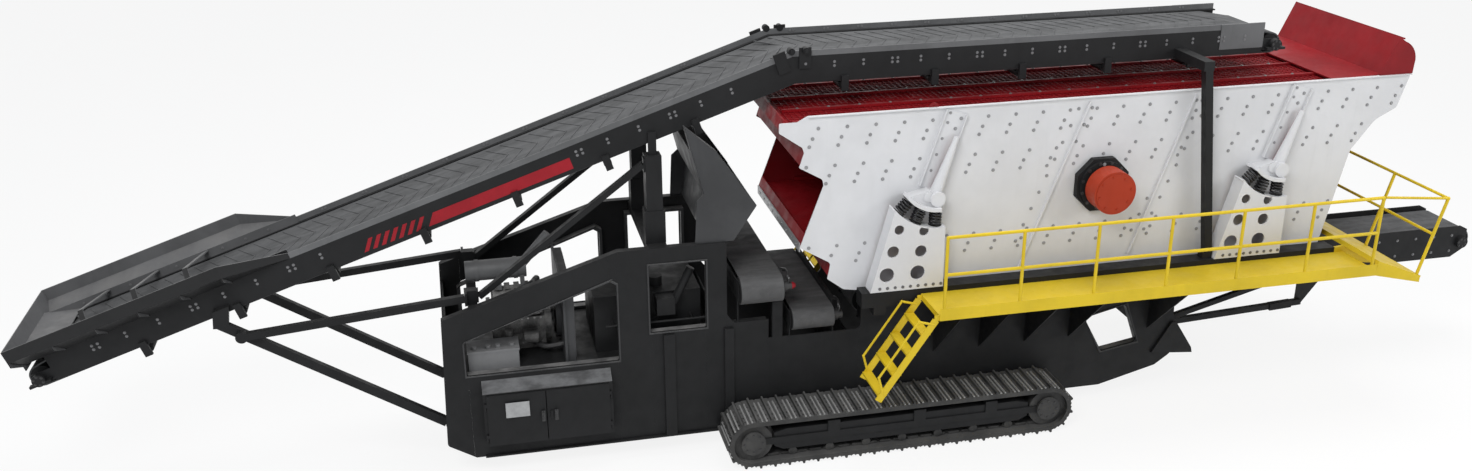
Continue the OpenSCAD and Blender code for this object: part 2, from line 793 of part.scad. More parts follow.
module upper_struts() {
  color(black) placed() both() {
    slab(-strut_y - 80, -strut_y) {
      strip(strut_knot, [-90, 2350], 90);
      translate(strut_knot) circle(70);
    }
    block([-lug_w - 30, -lug_w], [-strut_y - 80, -conveyor_y + 40], [lug_z + 20, lug_z + 180]);
  }
}

post_top = conveyor_z - 1090;
brace_z = post_top - 110;

module diagonal_braces() {
  color(black) placed() both() {
    slab(-strut_y, -conveyor_y + 10) strip([lug_w + 30, 2325], [post_x[0] - 25, brace_z], 70);
    block([lug_w, lug_w + 20], [-strut_y, -conveyor_y + 40], [lug_z + 20, lug_z + 170]);
    block([post_x[0] - 20, post_x[0]], [-strut_y, -conveyor_y + 40], [brace_z - 90, brace_z + 80]);
  }
}

module conveyor_posts() {
  color(black) placed() both() {
    block(post_x, [-conveyor_y - 100, -conveyor_y + 100], [post_z, post_top]);
    block(post_x - [25, -25], [-conveyor_y - 110, -conveyor_y + 110], [post_z, post_z + 420]);
    block(post_x + [50, -50], [-conveyor_y - 40, -conveyor_y], [post_top, post_top + 280]);
  }
}

// Screen box

screen_x0 = 3720;
lip_dir = [sin(lean), cos(lean)];
tip_a = [screen_x0 + 20, screen_z1 - 180];
tip_b = [screen_x0 + 265, screen_z1 - 625];
tip_c = [screen_x0 + 285, screen_z0 + 685];
tip_d = [screen_x0 + 650, screen_z0 + 235];

// outline of a screen side plate from the foot of the discharge end, counterclockwise
plate_outline = [[840, 60, 60], [1190, 0, 200], [7520, 0, 40], [7790, screen_h - 1000, 300],
  [8090, screen_h - 600, 250], [8380, screen_h - 450, 60], [8510, screen_h, 40], [350, screen_h, 40],
  [220, screen_h - 70, 30], [0, screen_h - 70, 20], [0, screen_h - 190, 20], [290, screen_h - 390, 60],
  [310, screen_h - 460, 0], [250, screen_h - 640, 10], [545, screen_h - 810, 60], [560, screen_h - 890, 0],
  [270, 670, 10], [670, 430, 60], [630, 220, 10]];

module screen_plate() {
  slab(-screen_y, -deck_y) translate([screen_x0, screen_z0]) polygon(rounded(plate_outline));
  // folded top edge and the slanting ribs
  slab(-screen_y - 30, -screen_y) {
    translate([screen_x0 + 350, screen_z1 - 14]) square([8160, 14]);
    strip([screen_x0 + 3980, screen_z1 - 60], [screen_x0 + 3980 - 800, screen_z0 + 130], 20);
    strip([screen_x0 + 5430, screen_z1 - 60], [screen_x0 + 5430 - 720, screen_z0 + 180], 20);
  }
  // lifting lug
  slab(-screen_y, -deck_y) translate([screen_x0 + 1930, screen_z1]) difference() {
    circle(60);
    circle(28);
    translate([-70, -70]) square([140, 70]);
  }
}

module screen_near_plate() {
  color(white) placed() screen_plate();
}

module screen_far_plate() {
  color(white) placed() mirror([0, 1, 0]) screen_plate();
}

// one deck: panel from its lip to x1, cross tubes below and the lip at the tip
module deck(tip, x1, lip) {
  slab(-deck_y, deck_y) {
    translate([tip[0] + 30, tip[1] + 40]) square([x1 - tip[0] - 30, deck_t]);
    strip(tip + 12 * lip_dir, tip + lip * lip_dir, 24);
    for (x = [tip[0] + 420:deck_pitch:x1 - deck_tube])
      translate([x, tip[1] + 41 - deck_tube]) square(deck_tube);
  }
}

deck_end = screen_x0 + 8000;
deck_step = 70;
pan_end = screen_x0 + 7510;

module top_deck() {
  color(red) placed() deck(tip_a, deck_end, 150);
}

module middle_deck() {
  color(red) placed() deck(tip_b, deck_end - deck_step, 200);
}

module bottom_deck() {
  color(red) placed() deck(tip_c, pan_end + 100, 170);
}

module fines_pan() {
  color(red) placed() deck(tip_d, pan_end, 170);
}

box_x = deck_end + 50;

module feed_box() {
  color(red) placed() {
    slab(-screen_y, screen_y) {
      strip([box_x, screen_z1 + 12], [box_x + 220, screen_z1 + 500], 20);
      strip([box_x + 205, screen_z1 + 490], [box_x + 280, screen_z1 + 470], 20);
    }
    slab(-deck_y, deck_y) strip([box_x - 570, screen_z1 - 60], [box_x + 10, screen_z1 + 15], 20);
    both() slab(-screen_y, -screen_y + 20)
      polygon(concat([[box_x, screen_z1]], [[box_x + 215, screen_z1 + 490]],
        arc([box_x + 200, screen_z1 + 160], 290, 70, 5, 8), [[box_x + 480, screen_z1]]));
  }
}

exciter_p = [screen_x0 + 4210, screen_z0 + 1200];

module exciter() {
  color(black) placed() {
    roller(exciter_p, cap_r * 0.7, -deck_y, deck_y);
    both() {
      slab(-screen_y - 90, -screen_y) translate(exciter_p) rotate(22.5) circle(exciter_r, $fn = 8);
      roller(exciter_p, cap_r + 40, -screen_y - 130, -screen_y - 90);
      roller(exciter_p, cap_r - 40, -screen_y - 180, -screen_y - 130);
    }
  }
}

module exciter_caps() {
  color([0.85, 0.25, 0.12]) placed() both() {
    roller(exciter_p, cap_r, -screen_y - 180 - cap_d, -screen_y - 180);
    roller(exciter_p, cap_r * 0.9, -screen_y - 188 - cap_d, -screen_y - 180 - cap_d);
  }
}

// Springs and their seats

seat_r = 733;
foot_r = 533;
seat_c = [bearer_x0 + 970, bearer_z1 + 1530];
seat_mid = -90 - 22.5;
seat_a0 = seat_mid - 29;
seat_a1 = seat_mid + 29;
seat_n = 16;
fan = 21;
spring_y = (bearer_y0 + bearer_y1) / 2;
disc_t = 8;
sag = seat_r - sqrt(seat_r * seat_r - spring_r * spring_r);
// depth of the flats of a seat that is drawn with straight steps
chord = seat_r * (1 - cos((seat_a1 - seat_a0) / seat_n / 2));
spring_len = seat_r - sag - foot_r - 2 * gap - chord;
coil_r = spring_r - wire_r;
wire_pitch = (spring_len - 2 * disc_t - 2 * wire_r) / turns;
wire_turn = 180 * wire_r / wire_pitch;

// the section of the wire across the axis of the spring
function on_wire(r, t) = r * [cos(t * wire_turn), sin(t * wire_turn)];
function wire_section(n) = concat(
  [for (i = [-n:n]) let (t = i / n) on_wire(coil_r + wire_r * sqrt(1 - t * t), t)],
  [for (i = [n - 1:-1:1 - n]) let (t = i / n) on_wire(coil_r - wire_r * sqrt(1 - t * t), t)]);

module spring() {
  cylinder(r = spring_r, h = disc_t, $fn = 32);
  translate([0, 0, spring_len - disc_t]) cylinder(r = spring_r, h = disc_t, $fn = 32);
  translate([0, 0, disc_t - 2])
    linear_extrude(spring_len - 2 * disc_t + 4, twist = -360 * turns, slices = 9 * turns, $fn = 8)
      polygon(wire_section(2));
}

module at_seats() {
  both() for (i = [0, 1]) translate([i * seat_pitch, 0, 0]) children();
}

module springs() {
  color(black) placed() at_seats() for (i = [-1:1])
    translate([seat_c[0], -spring_y, seat_c[1]]) rotate([0, -(seat_mid + 90) - i * fan, 0])
      translate([0, 0, -foot_r - gap - spring_len]) spring();
}

ped_y1 = bearer_y1 - 2;
ped_foot = [bearer_x0 + 110, bearer_x0 + 1060];
ped_hole = [[0.30, 0.80, 62], [0.64, 0.76, 62], [0.25, 0.52, 76], [0.63, 0.50, 76], [0.20, 0.22, 94],
  [0.62, 0.22, 94]];
ped_l = seat_c + seat_r * [cos(seat_a0), sin(seat_a0)];
ped_r = seat_c + seat_r * [cos(seat_a1), sin(seat_a1)];
web = 20;

module spring_pedestals() {
  color(white) placed() at_seats() {
    slab(-ped_y1, -ped_y1 + web) difference() {
      polygon(concat([[ped_foot[0], bearer_z1], [ped_foot[1], bearer_z1]], [ped_r],
        arc(seat_c, seat_r, seat_a1, seat_a0, seat_n), [ped_l]));
      for (h = ped_hole) let (x = between(ped_foot[0], ped_foot[1], h[0] + 0.08 * h[1]))
        translate([x, bearer_z1 + h[1] * (ped_l[1] - bearer_z1 - 60)]) circle(h[2]);
    }
    slab(-ped_y1 + web, -bearer_y0 - 2) {
      polygon([[ped_foot[0], bearer_z1], [ped_foot[0] + web, bearer_z1], ped_l + [web, -1.5 * web], ped_l]);
      polygon([[ped_foot[1] - web, bearer_z1], [ped_foot[1], bearer_z1], ped_r, ped_r + [-web, -web]]);
      translate([ped_foot[0], bearer_z1]) square([ped_foot[1] - ped_foot[0], web]);
      polygon(concat(arc(seat_c, seat_r, seat_a0, seat_a1, seat_n),
        arc(seat_c, seat_r + web, seat_a1, seat_a0, seat_n)));
    }
  }
}

// legs of the feed conveyor, beside the rear pedestals
leg_y = bearer_y0 + 60;
leg_clear = 60;
leg_foot = ped_foot[0] + seat_pitch - leg_clear;
leg_top = [leg_foot - 330, conveyor_z - 260];

module conveyor_legs() {
  color(black) placed() both() {
    slab(-leg_y - 110, -leg_y) {
      strip([leg_foot, bearer_z1 + 60], leg_top, 100);
      translate([leg_foot - 90, bearer_z1]) square([140, 90]);
    }
    translate([leg_top[0], 0, leg_top[1]]) block([-70, 70], [-leg_y - 110, -conveyor_y], [-60, 60]);
  }
}

chan_w = 290;
chan_t = 12;
chan_d = 45;
arm_len = 830;
chan_dir = [lip_dir[1], -lip_dir[0]];
chan_a = [bearer_x0 + 1240, screen_z1 - 14] - 60 * lip_dir;
chan_b = seat_c + [-60, -300];
arm_y = screen_y + chan_t + 75;

// channel on the screen plate, tapering arm and cast shoe over the springs
module spring_brackets() {
  color(white) placed() at_seats() {
    slab(-screen_y - chan_t, -screen_y) strip(chan_a, chan_b, chan_w);
    for (k = [-1, 1]) slab(-screen_y - chan_d, -screen_y - chan_t)
      strip(chan_a + k * (chan_w / 2 - 7) * chan_dir, chan_b + k * (chan_w / 2 - 7) * chan_dir, 14);
    translate([chan_b[0] + 30, -arm_y, chan_b[1] - 120]) rotate([0, lean, 0])
      cylinder(r1 = 85, r2 = 30, h = arm_len);
    slab(-bearer_y1 + 10, -screen_y)
      polygon(concat(arc(seat_c, foot_r - 45, seat_a0 + 3, seat_a1 - 3, 10),
        arc(seat_c, foot_r, seat_a1 - 3, seat_a0 + 3, 10)));
    slab(-bearer_y1 + 110, -screen_y)
      polygon(concat(arc(seat_c, foot_r - 30, seat_a0 + 5, seat_a1 - 5, 8),
        [chan_b + [150, -40], chan_b + [-40, 20]]));
    roller(chan_b + [55, -90], 95, -bearer_y1 + 60, -screen_y);
    roller(chan_b + [-60, -60], 60, -bearer_y1 + 90, -screen_y);
  }
}

// Discharge end

chute_y = inner_y - 30;
chute_t = 12;
chute_foot = [rear_wall_x - 320, power_z + gap];
chute_top = chute_foot + [-90, 1470];
chute_peak = chute_foot + [280, 1150];
chute_nose = chute_foot + [770, 430];
chute_heel = chute_foot + [480, 0];
chute_fold = chute_foot + [120, 640];

// hood that turns the oversize down onto the upper cross conveyor
module discharge_chute() {
  color(grey) placed() {
    slab(-chute_y, chute_y) {
      strip(between(chute_top, chute_fold, 0.4), chute_fold, chute_t);
      strip(chute_foot + [250, 620], chute_foot + [160, 6], chute_t);
    }
    both() {
      slab(-chute_y, -conveyor_y - 120) strip(chute_top, chute_fold, chute_t);
      slab(-chute_y - chute_t, -chute_y)
        polygon([chute_foot, chute_heel, chute_nose, chute_peak, chute_top, chute_fold,
          chute_foot + [30, 560]]);
      // folded upper edges
      slab(-chute_y, -chute_y + 120) {
        strip(chute_top, chute_peak, chute_t);
        strip(chute_peak, chute_nose, chute_t);
      }
    }
    slab(-chute_y, chute_y) strip(chute_heel + [0, 6], chute_nose, chute_t);
  }
}

upper_p = [3530, 2200];
lower_p = [4200, 1740];
upper_r = 180;
lower_r = 145;
drum_y = 950;
cross_w = 540;
side_gap = 10;
side_plate_t = 12;
side_h = 0.7;

// belt loop of a cross conveyor
module cross_loop(p, r) {
  wall(p[0] - cross_w / 2, p[0] + cross_w / 2) difference() {
    link([-drum_y, p[1]], [drum_y, p[1]], r);
    link([-drum_y, p[1]], [drum_y, p[1]], r - 15);
  }
}

module cross_belts() {
  color(grey) placed() {
    cross_loop(upper_p, upper_r);
    cross_loop(lower_p, lower_r);
  }
}

// stations of the two side frames of a cross conveyor
function sides(p) = [p[0] - cross_w / 2 - side_gap - side_plate_t, p[0] + cross_w / 2 + side_gap];

// side frames and drums of a cross conveyor, with feet from height z0
module cross_frame(p, r, z0) {
  low = p[1] - r * side_h;
  for (x = sides(p)) block([x, x + side_plate_t], [-drum_y - 40, drum_y + 40], [low, p[1] + r * side_h]);
  both() {
    wall(p[0] - cross_w / 2 - side_gap, p[0] + cross_w / 2 + side_gap)
      translate([-drum_y, p[1]]) circle(r - 15 - gap);
    for (i = [0, 1]) let (x = sides(p)[i])
      block([x, x + side_plate_t], [-chassis_y, -inner_y + 60], [z0[i], low]);
  }
}

guard_z = 1940;
guard_x = sides(lower_p)[1];
guard_y = [-drum_y + 50, drum_y - 50];
foot_x = sides(upper_p)[1];

module cross_conveyor_frames() {
  color(black) placed() {
    cross_frame(upper_p, upper_r, [saddle_z, notch_z]);
    cross_frame(lower_p, lower_r, [notch_z, notch_z]);
    both() block([foot_x - 120, foot_x], [-chassis_y, -inner_y + 60], [notch_z, upper_p[1] - upper_r - 30]);
    // guard with a folded edge on the side of the screen
    block([guard_x, guard_x + side_plate_t], guard_y, [lower_p[1] + lower_r * side_h, guard_z]);
    block([guard_x, guard_x + 45], guard_y, [guard_z - side_plate_t, guard_z]);
  }
}

// Walkways

floor_t = 70;

module walkways() {
  color(yellow) placed() both()
    block([walk_x0, walk_x1], [-walk_y, -bearer_y1], [walk_z - floor_t, walk_z]);
}

bracket_n = 4;
bracket_pitch = 640;
bracket_x = concat([for (i = [0:bracket_n - 1]) walk_x0 + 380 + i * bracket_pitch], [walk_x0 + 3460]);

module walkway_brackets() {
  color(black) placed() both() for (x = bracket_x) wall(x, x + 16)
    polygon([[-chassis_y, 1050], [-chassis_y, bed_z], [-bearer_y0, bearer_z0], [-bearer_y1, bearer_z0],
      [-bearer_y1, walk_z - floor_t], [-walk_y + 130, walk_z - floor_t]]);
}

post_y = walk_y - rail_r - 5;
rail_x = [walk_x0 + 60, walk_x1 - 60];

// a rail post standing at x
module rail_post(x) {
  bar([x, -post_y, walk_z], [x, -post_y, walk_z + rail_h], rail_r);
}

module railings() {
  color(yellow) placed() both() {
    for (i = [0:rail_bays]) rail_post(between(rail_x[0], rail_x[1], i / rail_bays));
    for (z = [walk_z + rail_h * 0.52, walk_z + rail_h])
      bar([rail_x[0], -post_y, z], [rail_x[1], -post_y, z], rail_r);
    for (x = rail_x) translate([x, -post_y, walk_z + rail_h]) sphere(rail_r);
    block([walk_x0, walk_x1], [-walk_y, -walk_y + 6], [walk_z, walk_z + 90]);
  }
}

ladder_a = [walk_x0 - 40, walk_z - 60];
ladder_b = [walk_x0 - 740, 1040];
step_n = 4;
grip_line = [[-60, walk_z - 120], [-260, walk_z - 60], [-740, 1360], [-680, 1130]];
function grip(y, i) = [walk_x0 + grip_line[i][0], y + 7, grip_line[i][1]];

module ladders() {
  color(yellow) placed() both() {
    for (y = [-walk_y + 14, -bearer_y1 - 50]) {
      slab(y, y + 14) {
        strip(ladder_a, ladder_b, 90);
        translate([walk_x0 - 60, walk_z - floor_t]) square([60, floor_t]);
      }
      for (i = [0:2]) bar(grip(y, i), grip(y, i + 1), 15);
      for (i = [1:2]) translate(grip(y, i)) sphere(18);
    }
    for (i = [0:step_n - 1]) let (p = between(ladder_a, ladder_b, (i + 0.7) / step_n))
      block([p[0] - 60, p[0] + 60], [-walk_y + 20, -bearer_y1 - 40], [p[1] - 15, p[1] + 15]);
  }
}

plat_a = [walk_x1 + 13, walk_z + 100];
plat_b = [walk_x1 + 680, walk_z - 170];

module rear_platform() {
  color(yellow) placed() {
    slab(-walk_y, walk_y) strip(plat_a, plat_b, 60);
    both() slab(-walk_y, -walk_y + 16)
      polygon([[walk_x1, walk_z - floor_t], plat_b + [0, -60], plat_b, plat_a, [walk_x1, walk_z]]);
    both() slab(-bearer_y1, -bearer_y1 + 40)
      polygon([[bed_x1, bearer_z0], plat_b + [-60, -60], plat_b + [-30, 0], [walk_x1 + 6, walk_z + 80],
        [bed_x1, bearer_z1 - 5]]);
  }
}

rear_lean = [0.24, 0.97];
plat_dir = unit(plat_b - plat_a);
rear_a = plat_b - 54 * plat_dir + 33.3 * across(plat_dir);
rear_top = rear_a + 1060 * rear_lean;
rear_mid = rear_a + 560 * rear_lean;

module rear_railing() {
  color(yellow) placed() {
    for (y = post_y * [-1, -0.5, 0, 0.5, 1])
      bar([rear_a[0], y, rear_a[1]], [rear_top[0], y, rear_top[1]], rail_r);
    for (p = [rear_mid, rear_top]) bar([p[0], -post_y, p[1]], [p[0], post_y, p[1]], rail_r - 2);
    both() {
      translate([rear_top[0], -post_y, rear_top[1]]) sphere(rail_r + 3);
      bar([rail_x[1] + rail_r + 7, -post_y, walk_z + rail_h], [rear_top[0], -post_y, rear_top[1]],
        rail_r - 4);
    }
  }
}

// Fines conveyor

fines_x0 = bed_x0 + 240;
fines_z1 = bed_z;
fines_z0 = fines_z1 - fines_h;
fines_zc = fines_z1 - 60 - fines_r;
hang_x = 11620;

module fines_stringers() {
  color(black) placed() both() {
    slab(-fines_y, -fines_y + 14)
      polygon([[fines_x0 - 120, fines_z0], [fines_x1 - 120, fines_z0], [fines_x1 + 80, fines_z0 + 130],
        [fines_x1 + 80, fines_z1 - 60], [fines_x1 - 40, fines_z1], [fines_x0 - 120, fines_z1]]);
    slab(-fines_y, -fines_y + 60) translate([fines_x0 - 120, fines_z0]) square([fines_x1 - fines_x0, 14]);
    slab(-fines_y, -fines_y + 14)
      polygon([[hang_x - 60, fines_z0], [hang_x + 400, fines_z0], [hang_x + 300, fines_z0 - 150],
        [hang_x + 40, fines_z0 - 500], [hang_x - 60, fines_z0 - 500]]);
  }
}

module fines_belt() {
  color(grey) placed() slab(-fines_y + 70, fines_y - 70) difference() {
    link([fines_x0, fines_zc], [fines_x1, fines_zc], fines_r);
    link([fines_x0, fines_zc], [fines_x1, fines_zc], fines_r - 15);
  }
}

module fines_pulley() {
  color(black) placed() for (x = [fines_x0, fines_x1]) {
    roller([x, fines_zc], fines_r - 15 - gap, -fines_y + 80, fines_y - 80);
    roller([x, fines_zc], 35, -fines_y + 14, fines_y - 14);
    both() roller([x, fines_zc], 85, -fines_y - 55, -fines_y);
  }
}

module fines_struts() {
  color(black) placed() both() {
    slab(-fines_y - 70, -fines_y) {
      strip([tow_x + 20, 850], [hang_x, 960], 80);
      strip([tow_x + 20, 860], [hang_x - 100, fines_z0 + 40], 70);
    }
    slab(-fines_y - 85, -fines_y) strip([hang_x - 500, 931], [hang_x - 160, 950], 100);
    block([tow_x, tow_x + 30], [-fines_y - 90, -fines_y + 20], [760, 960]);
  }
}

// Assembly

track_belts();
track_frames();
track_wheels();
track_cross_beams();
near_side_plate();
far_side_plate();
chassis_edges();
chassis_cross_plates();
screen_bearers();
engine();
radiator();
battery_box();
muffler();
hydraulic_tank();
control_cabinet();
left_door();
right_door();
incline_stringers();
level_stringers();
feed_belt();
belt_rollers();
tail_pulley();
head_pulley();
skirt_plates();
feed_hopper();
lower_struts();
upper_struts();
diagonal_braces();
conveyor_posts();
conveyor_legs();
screen_near_plate();
screen_far_plate();
top_deck();
middle_deck();
bottom_deck();
fines_pan();
feed_box();
exciter();
exciter_caps();
spring_brackets();
springs();
spring_pedestals();
discharge_chute();
cross_conveyor_frames();
cross_belts();
walkways();
walkway_brackets();
railings();
ladders();
rear_platform();
rear_railing();
fines_stringers();
fines_belt();
fines_pulley();
fines_struts();
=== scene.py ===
"""Looks of a tracked vibrating screen: finishes, springs, fasteners, wire cloth, belt cleats and trim."""
import json
import math

import bmesh
import bpy
from mathutils import Matrix, Vector
from mathutils.bvhtree import BVHTree


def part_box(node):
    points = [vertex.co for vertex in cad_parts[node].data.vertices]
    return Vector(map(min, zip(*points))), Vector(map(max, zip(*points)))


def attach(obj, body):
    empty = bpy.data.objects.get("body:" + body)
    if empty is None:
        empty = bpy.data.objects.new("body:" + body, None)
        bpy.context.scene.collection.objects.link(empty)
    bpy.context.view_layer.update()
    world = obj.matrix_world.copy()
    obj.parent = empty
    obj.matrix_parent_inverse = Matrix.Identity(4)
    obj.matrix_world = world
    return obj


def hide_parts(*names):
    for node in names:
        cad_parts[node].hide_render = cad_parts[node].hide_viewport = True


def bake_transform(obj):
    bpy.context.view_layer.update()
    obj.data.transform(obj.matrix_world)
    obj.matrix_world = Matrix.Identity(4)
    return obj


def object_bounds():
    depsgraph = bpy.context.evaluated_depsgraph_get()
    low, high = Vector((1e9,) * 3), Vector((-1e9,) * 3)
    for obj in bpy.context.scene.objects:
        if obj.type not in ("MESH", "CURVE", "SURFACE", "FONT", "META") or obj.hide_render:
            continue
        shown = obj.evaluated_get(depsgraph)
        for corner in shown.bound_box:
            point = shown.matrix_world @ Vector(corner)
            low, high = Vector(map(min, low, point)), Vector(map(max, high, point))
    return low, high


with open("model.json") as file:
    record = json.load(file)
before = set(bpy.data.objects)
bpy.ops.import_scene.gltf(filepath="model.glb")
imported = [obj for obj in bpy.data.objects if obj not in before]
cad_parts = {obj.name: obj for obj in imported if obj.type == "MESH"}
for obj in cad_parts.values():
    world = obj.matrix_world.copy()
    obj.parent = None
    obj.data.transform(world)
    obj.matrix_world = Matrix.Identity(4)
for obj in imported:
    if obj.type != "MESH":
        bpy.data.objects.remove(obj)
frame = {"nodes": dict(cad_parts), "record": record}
CAD_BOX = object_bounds()
NODES = frame["nodes"]

# Places in metres: a station runs along the machine from the foot of the chassis front
MIDDLE = 4.5628                          # station of the frame's origin
SIDES = (-1, 1)                          # near and far
OUTSIDE = 3.0                            # across the machine, clear of every piece
CHASSIS, SCREEN = "chassis", "screen_box"
INCLINE = math.radians(18.6)             # slope of the feed conveyor's first part
TAIL = Vector((-4.97, 0.0, 1.7894))      # centre of the feed belt's tail bend
KNEE = Vector((4.05, 0.0, 4.825))        # and of its knee
HEAD = Vector((10.5, 0.0, 4.825))        # and of its head bend
CARRY = 0.215                            # height of the carrying belt above those centres
EXCITER = (7.93, 3.30)                   # station and height of the exciter shaft
FAN_HUB = (5.69, 3.72)                   # point that the front springs fan out from
SEAT_PITCH = 4.71                        # from the front springs to the rear ones
SPRING_TURNS = (-133.5, -112.5, -91.5)   # degrees, the way each spring of a group points


def at(x, y, z):
    """A point given by its station, in the row frame."""
    return Vector((x - MIDDLE, y, z))


def sloped(u, y, v):
    """A point u along the feed conveyor's first part and v above its line of centres."""
    c, s = math.cos(INCLINE), math.sin(INCLINE)
    return at(TAIL.x + u * c - v * s, y, TAIL.z + u * s + v * c)


# Finishes

class Finish:
    """A node material with a few words for the nodes that every finish uses."""

    def __init__(self, name, rough=0.5, metal=0.0, spec=0.5):
        self.mat = bpy.data.materials.new(name)
        self.mat.use_nodes = True
        self.tree = self.mat.node_tree
        self.tree.nodes.clear()
        self.out = self.add("ShaderNodeOutputMaterial")
        self.bsdf = self.add("ShaderNodeBsdfPrincipled")
        self.bsdf.inputs["Roughness"].default_value = rough
        self.bsdf.inputs["Metallic"].default_value = metal
        self.bsdf.inputs["Specular IOR Level"].default_value = spec
        self.link(self.bsdf.outputs[0], self.out.inputs[0])
        self.where = self.add("ShaderNodeTexCoord").outputs["Object"]

    def add(self, kind, **props):
        n = self.tree.nodes.new(kind)
        for k, v in props.items():
            setattr(n, k, v)
        return n

    def link(self, a, b):
        self.tree.links.new(a, b)

    def put(self, socket, value):
        if isinstance(value, bpy.types.NodeSocket):
            self.link(value, socket)
        elif hasattr(socket.default_value, "__len__"):
            v = tuple(value)
            socket.default_value = v + (1.0,) * (len(socket.default_value) - len(v))
        else:
            socket.default_value = value

    def stretch(self, scale):
        """Object coordinates scaled along each axis."""
        m = self.add("ShaderNodeMapping")
        self.link(self.where, m.inputs["Vector"])
        m.inputs["Scale"].default_value = scale
        return m.outputs[0]

    def noise(self, scale, detail=4.0, rough=0.55, where=None):
        n = self.add("ShaderNodeTexNoise")
        self.link(where or self.where, n.inputs["Vector"])
        n.inputs["Scale"].default_value = scale
        n.inputs["Detail"].default_value = detail
        n.inputs["Roughness"].default_value = rough
        return n.outputs["Fac"]

    def band(self, value, low, high, out_low=0.0, out_high=1.0):
        n = self.add("ShaderNodeMapRange", interpolation_type="SMOOTHSTEP")
        self.put(n.inputs["Value"], value)
        for k, v in (("From Min", low), ("From Max", high), ("To Min", out_low), ("To Max", out_high)):
            self.put(n.inputs[k], v)
        return n.outputs["Result"]

    def sum(self, op, a, b):
        n = self.add("ShaderNodeMath", operation=op)
        self.put(n.inputs[0], a)
        self.put(n.inputs[1], b)
        return n.outputs[0]

    def mix(self, fac, a, b):
        n = self.add("ShaderNodeMix", data_type="RGBA")
        self.put(n.inputs["Factor"], fac)
        self.put(n.inputs["A"], a)
        self.put(n.inputs["B"], b)
        return n.outputs["Result"]

    def facing(self):
        """The surface normal's X, Y and Z."""
        g = self.add("ShaderNodeNewGeometry")
        s = self.add("ShaderNodeSeparateXYZ")
        self.link(g.outputs["Normal"], s.inputs[0])
        return s.outputs

    def place(self):
        """Object coordinates X, Y and Z."""
        s = self.add("ShaderNodeSeparateXYZ")
        self.link(self.where, s.inputs[0])
        return s.outputs

    def relief(self, height, strength, distance):
        b = self.add("ShaderNodeBump")
        b.inputs["Strength"].default_value = strength
        b.inputs["Distance"].default_value = distance
        self.link(height, b.inputs["Height"])
        self.link(b.outputs[0], self.bsdf.inputs["Normal"])

    def colour(self, value):
        self.put(self.bsdf.inputs["Base Color"], value)

    def over(self, fac, value):
        """Lays another colour over the one that is set."""
        under = self.bsdf.inputs["Base Color"].links[0].from_socket
        self.colour(self.mix(fac, under, value))

    def rough(self, value):
        self.put(self.bsdf.inputs["Roughness"], value)


def shade(c, k):
    """A tone k times as light."""
    return tuple(min(1.0, v * k) for v in c)


def paint(name, base, rough=0.45, dust_and_painted_light=0.35, dust_and_painted_light_tone=(0.34, 0.32, 0.29), chips=0.35,
          chip_tone=(0.13, 0.10, 0.08), streak=0.2, cloud=0.16, spec=0.28):
    """Sprayed paint: cloudy tone, dust on what faces up (a painted highlight on the window lips' sills), runs
    down the sides and small chips.
    """
    f = Finish(name, rough, 0.0, spec)
    patch = f.band(f.noise(1.3, 6.0, 0.6), 0.3, 0.7)
    tone = f.mix(patch, shade(base, 1.0 - cloud), shade(base, 1.0 + cloud))
    runs = f.noise(1.0, 5.0, 0.6, f.stretch((9.0, 9.0, 0.7)))
    tone = f.mix(f.band(runs, 0.52, 0.74, 0.0, streak), tone, shade(base, 0.55))
    # upward faces get a pale tone: dust, and on the window lips a painted highlight on the sills
    up = f.band(f.facing()[2], 0.25, 0.95)
    dust_and_painted_light_cover = f.sum("MULTIPLY", up, f.band(f.noise(3.1, 7.0, 0.65), 0.30, 0.72, 0.15 * dust_and_painted_light, dust_and_painted_light))
    tone = f.mix(dust_and_painted_light_cover, tone, dust_and_painted_light_tone)
    speck = f.noise(23.0, 8.0, 0.7)
    tone = f.mix(f.band(speck, 0.70, 0.76, 0.0, chips), tone, chip_tone)
    f.colour(tone)
    f.rough(f.band(f.noise(6.0, 5.0), 0.3, 0.7, rough - 0.08, rough + 0.14))
    f.relief(f.noise(180.0, 2.0), 0.08, 0.002)
    return f


CHARCOAL = (0.0105, 0.0108, 0.0115)
CHARCOAL_DUST = (0.085, 0.083, 0.08)
CHARCOAL_CHIP = (0.045, 0.04, 0.036)
DECK_RED = (0.205, 0.005, 0.0085)


def charcoal_finish(name="charcoal_paint", base=CHARCOAL, dust_and_painted_light=0.12, dust_and_painted_light_tone=CHARCOAL_DUST):
    return paint(name, base, 0.5, dust_and_painted_light, dust_and_painted_light_tone, 0.25, CHARCOAL_CHIP, spec=0.2).mat


def hood_finish():
    """Charcoal, with the hood above the doors painted a streaky paler grey as a painted highlight."""
    f = paint("hood_painted_highlight", CHARCOAL, 0.45, 0.12, CHARCOAL_DUST, 0.25, CHARCOAL_CHIP, spec=0.2)
    hood = f.sum("GREATER_THAN", f.place()[2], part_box("left_door")[1].z + 0.02)
    hood_highlight_streaks = f.band(f.noise(1.0, 6.0, 0.6, f.stretch((2.2, 1.0, 6.0))), 0.35, 0.65)
    # painted highlight: the hood is painted a streaky paler grey
    f.over(hood, f.mix(hood_highlight_streaks, (0.042, 0.0425, 0.044), (0.125, 0.127, 0.131)))
    return f.mat


def grey_finish(name="grey_paint", base=(0.105, 0.107, 0.11), dust_and_painted_light=0.2):
    return paint(name, base, 0.5, dust_and_painted_light, (0.2, 0.19, 0.18), 0.35, (0.06, 0.05, 0.045)).mat


def yellow_finish():
    return paint("safety_yellow", (0.60, 0.43, 0.014), 0.42, 0.06, (0.5, 0.42, 0.2), 0.25, (0.30, 0.19, 0.05),
                 0.12, 0.08).mat


def red_finish(name="deck_red", base=DECK_RED):
    return paint(name, base, 0.45, 0.03, (0.22, 0.04, 0.035), 0.3, (0.08, 0.02, 0.02), 0.22, spec=0.22).mat


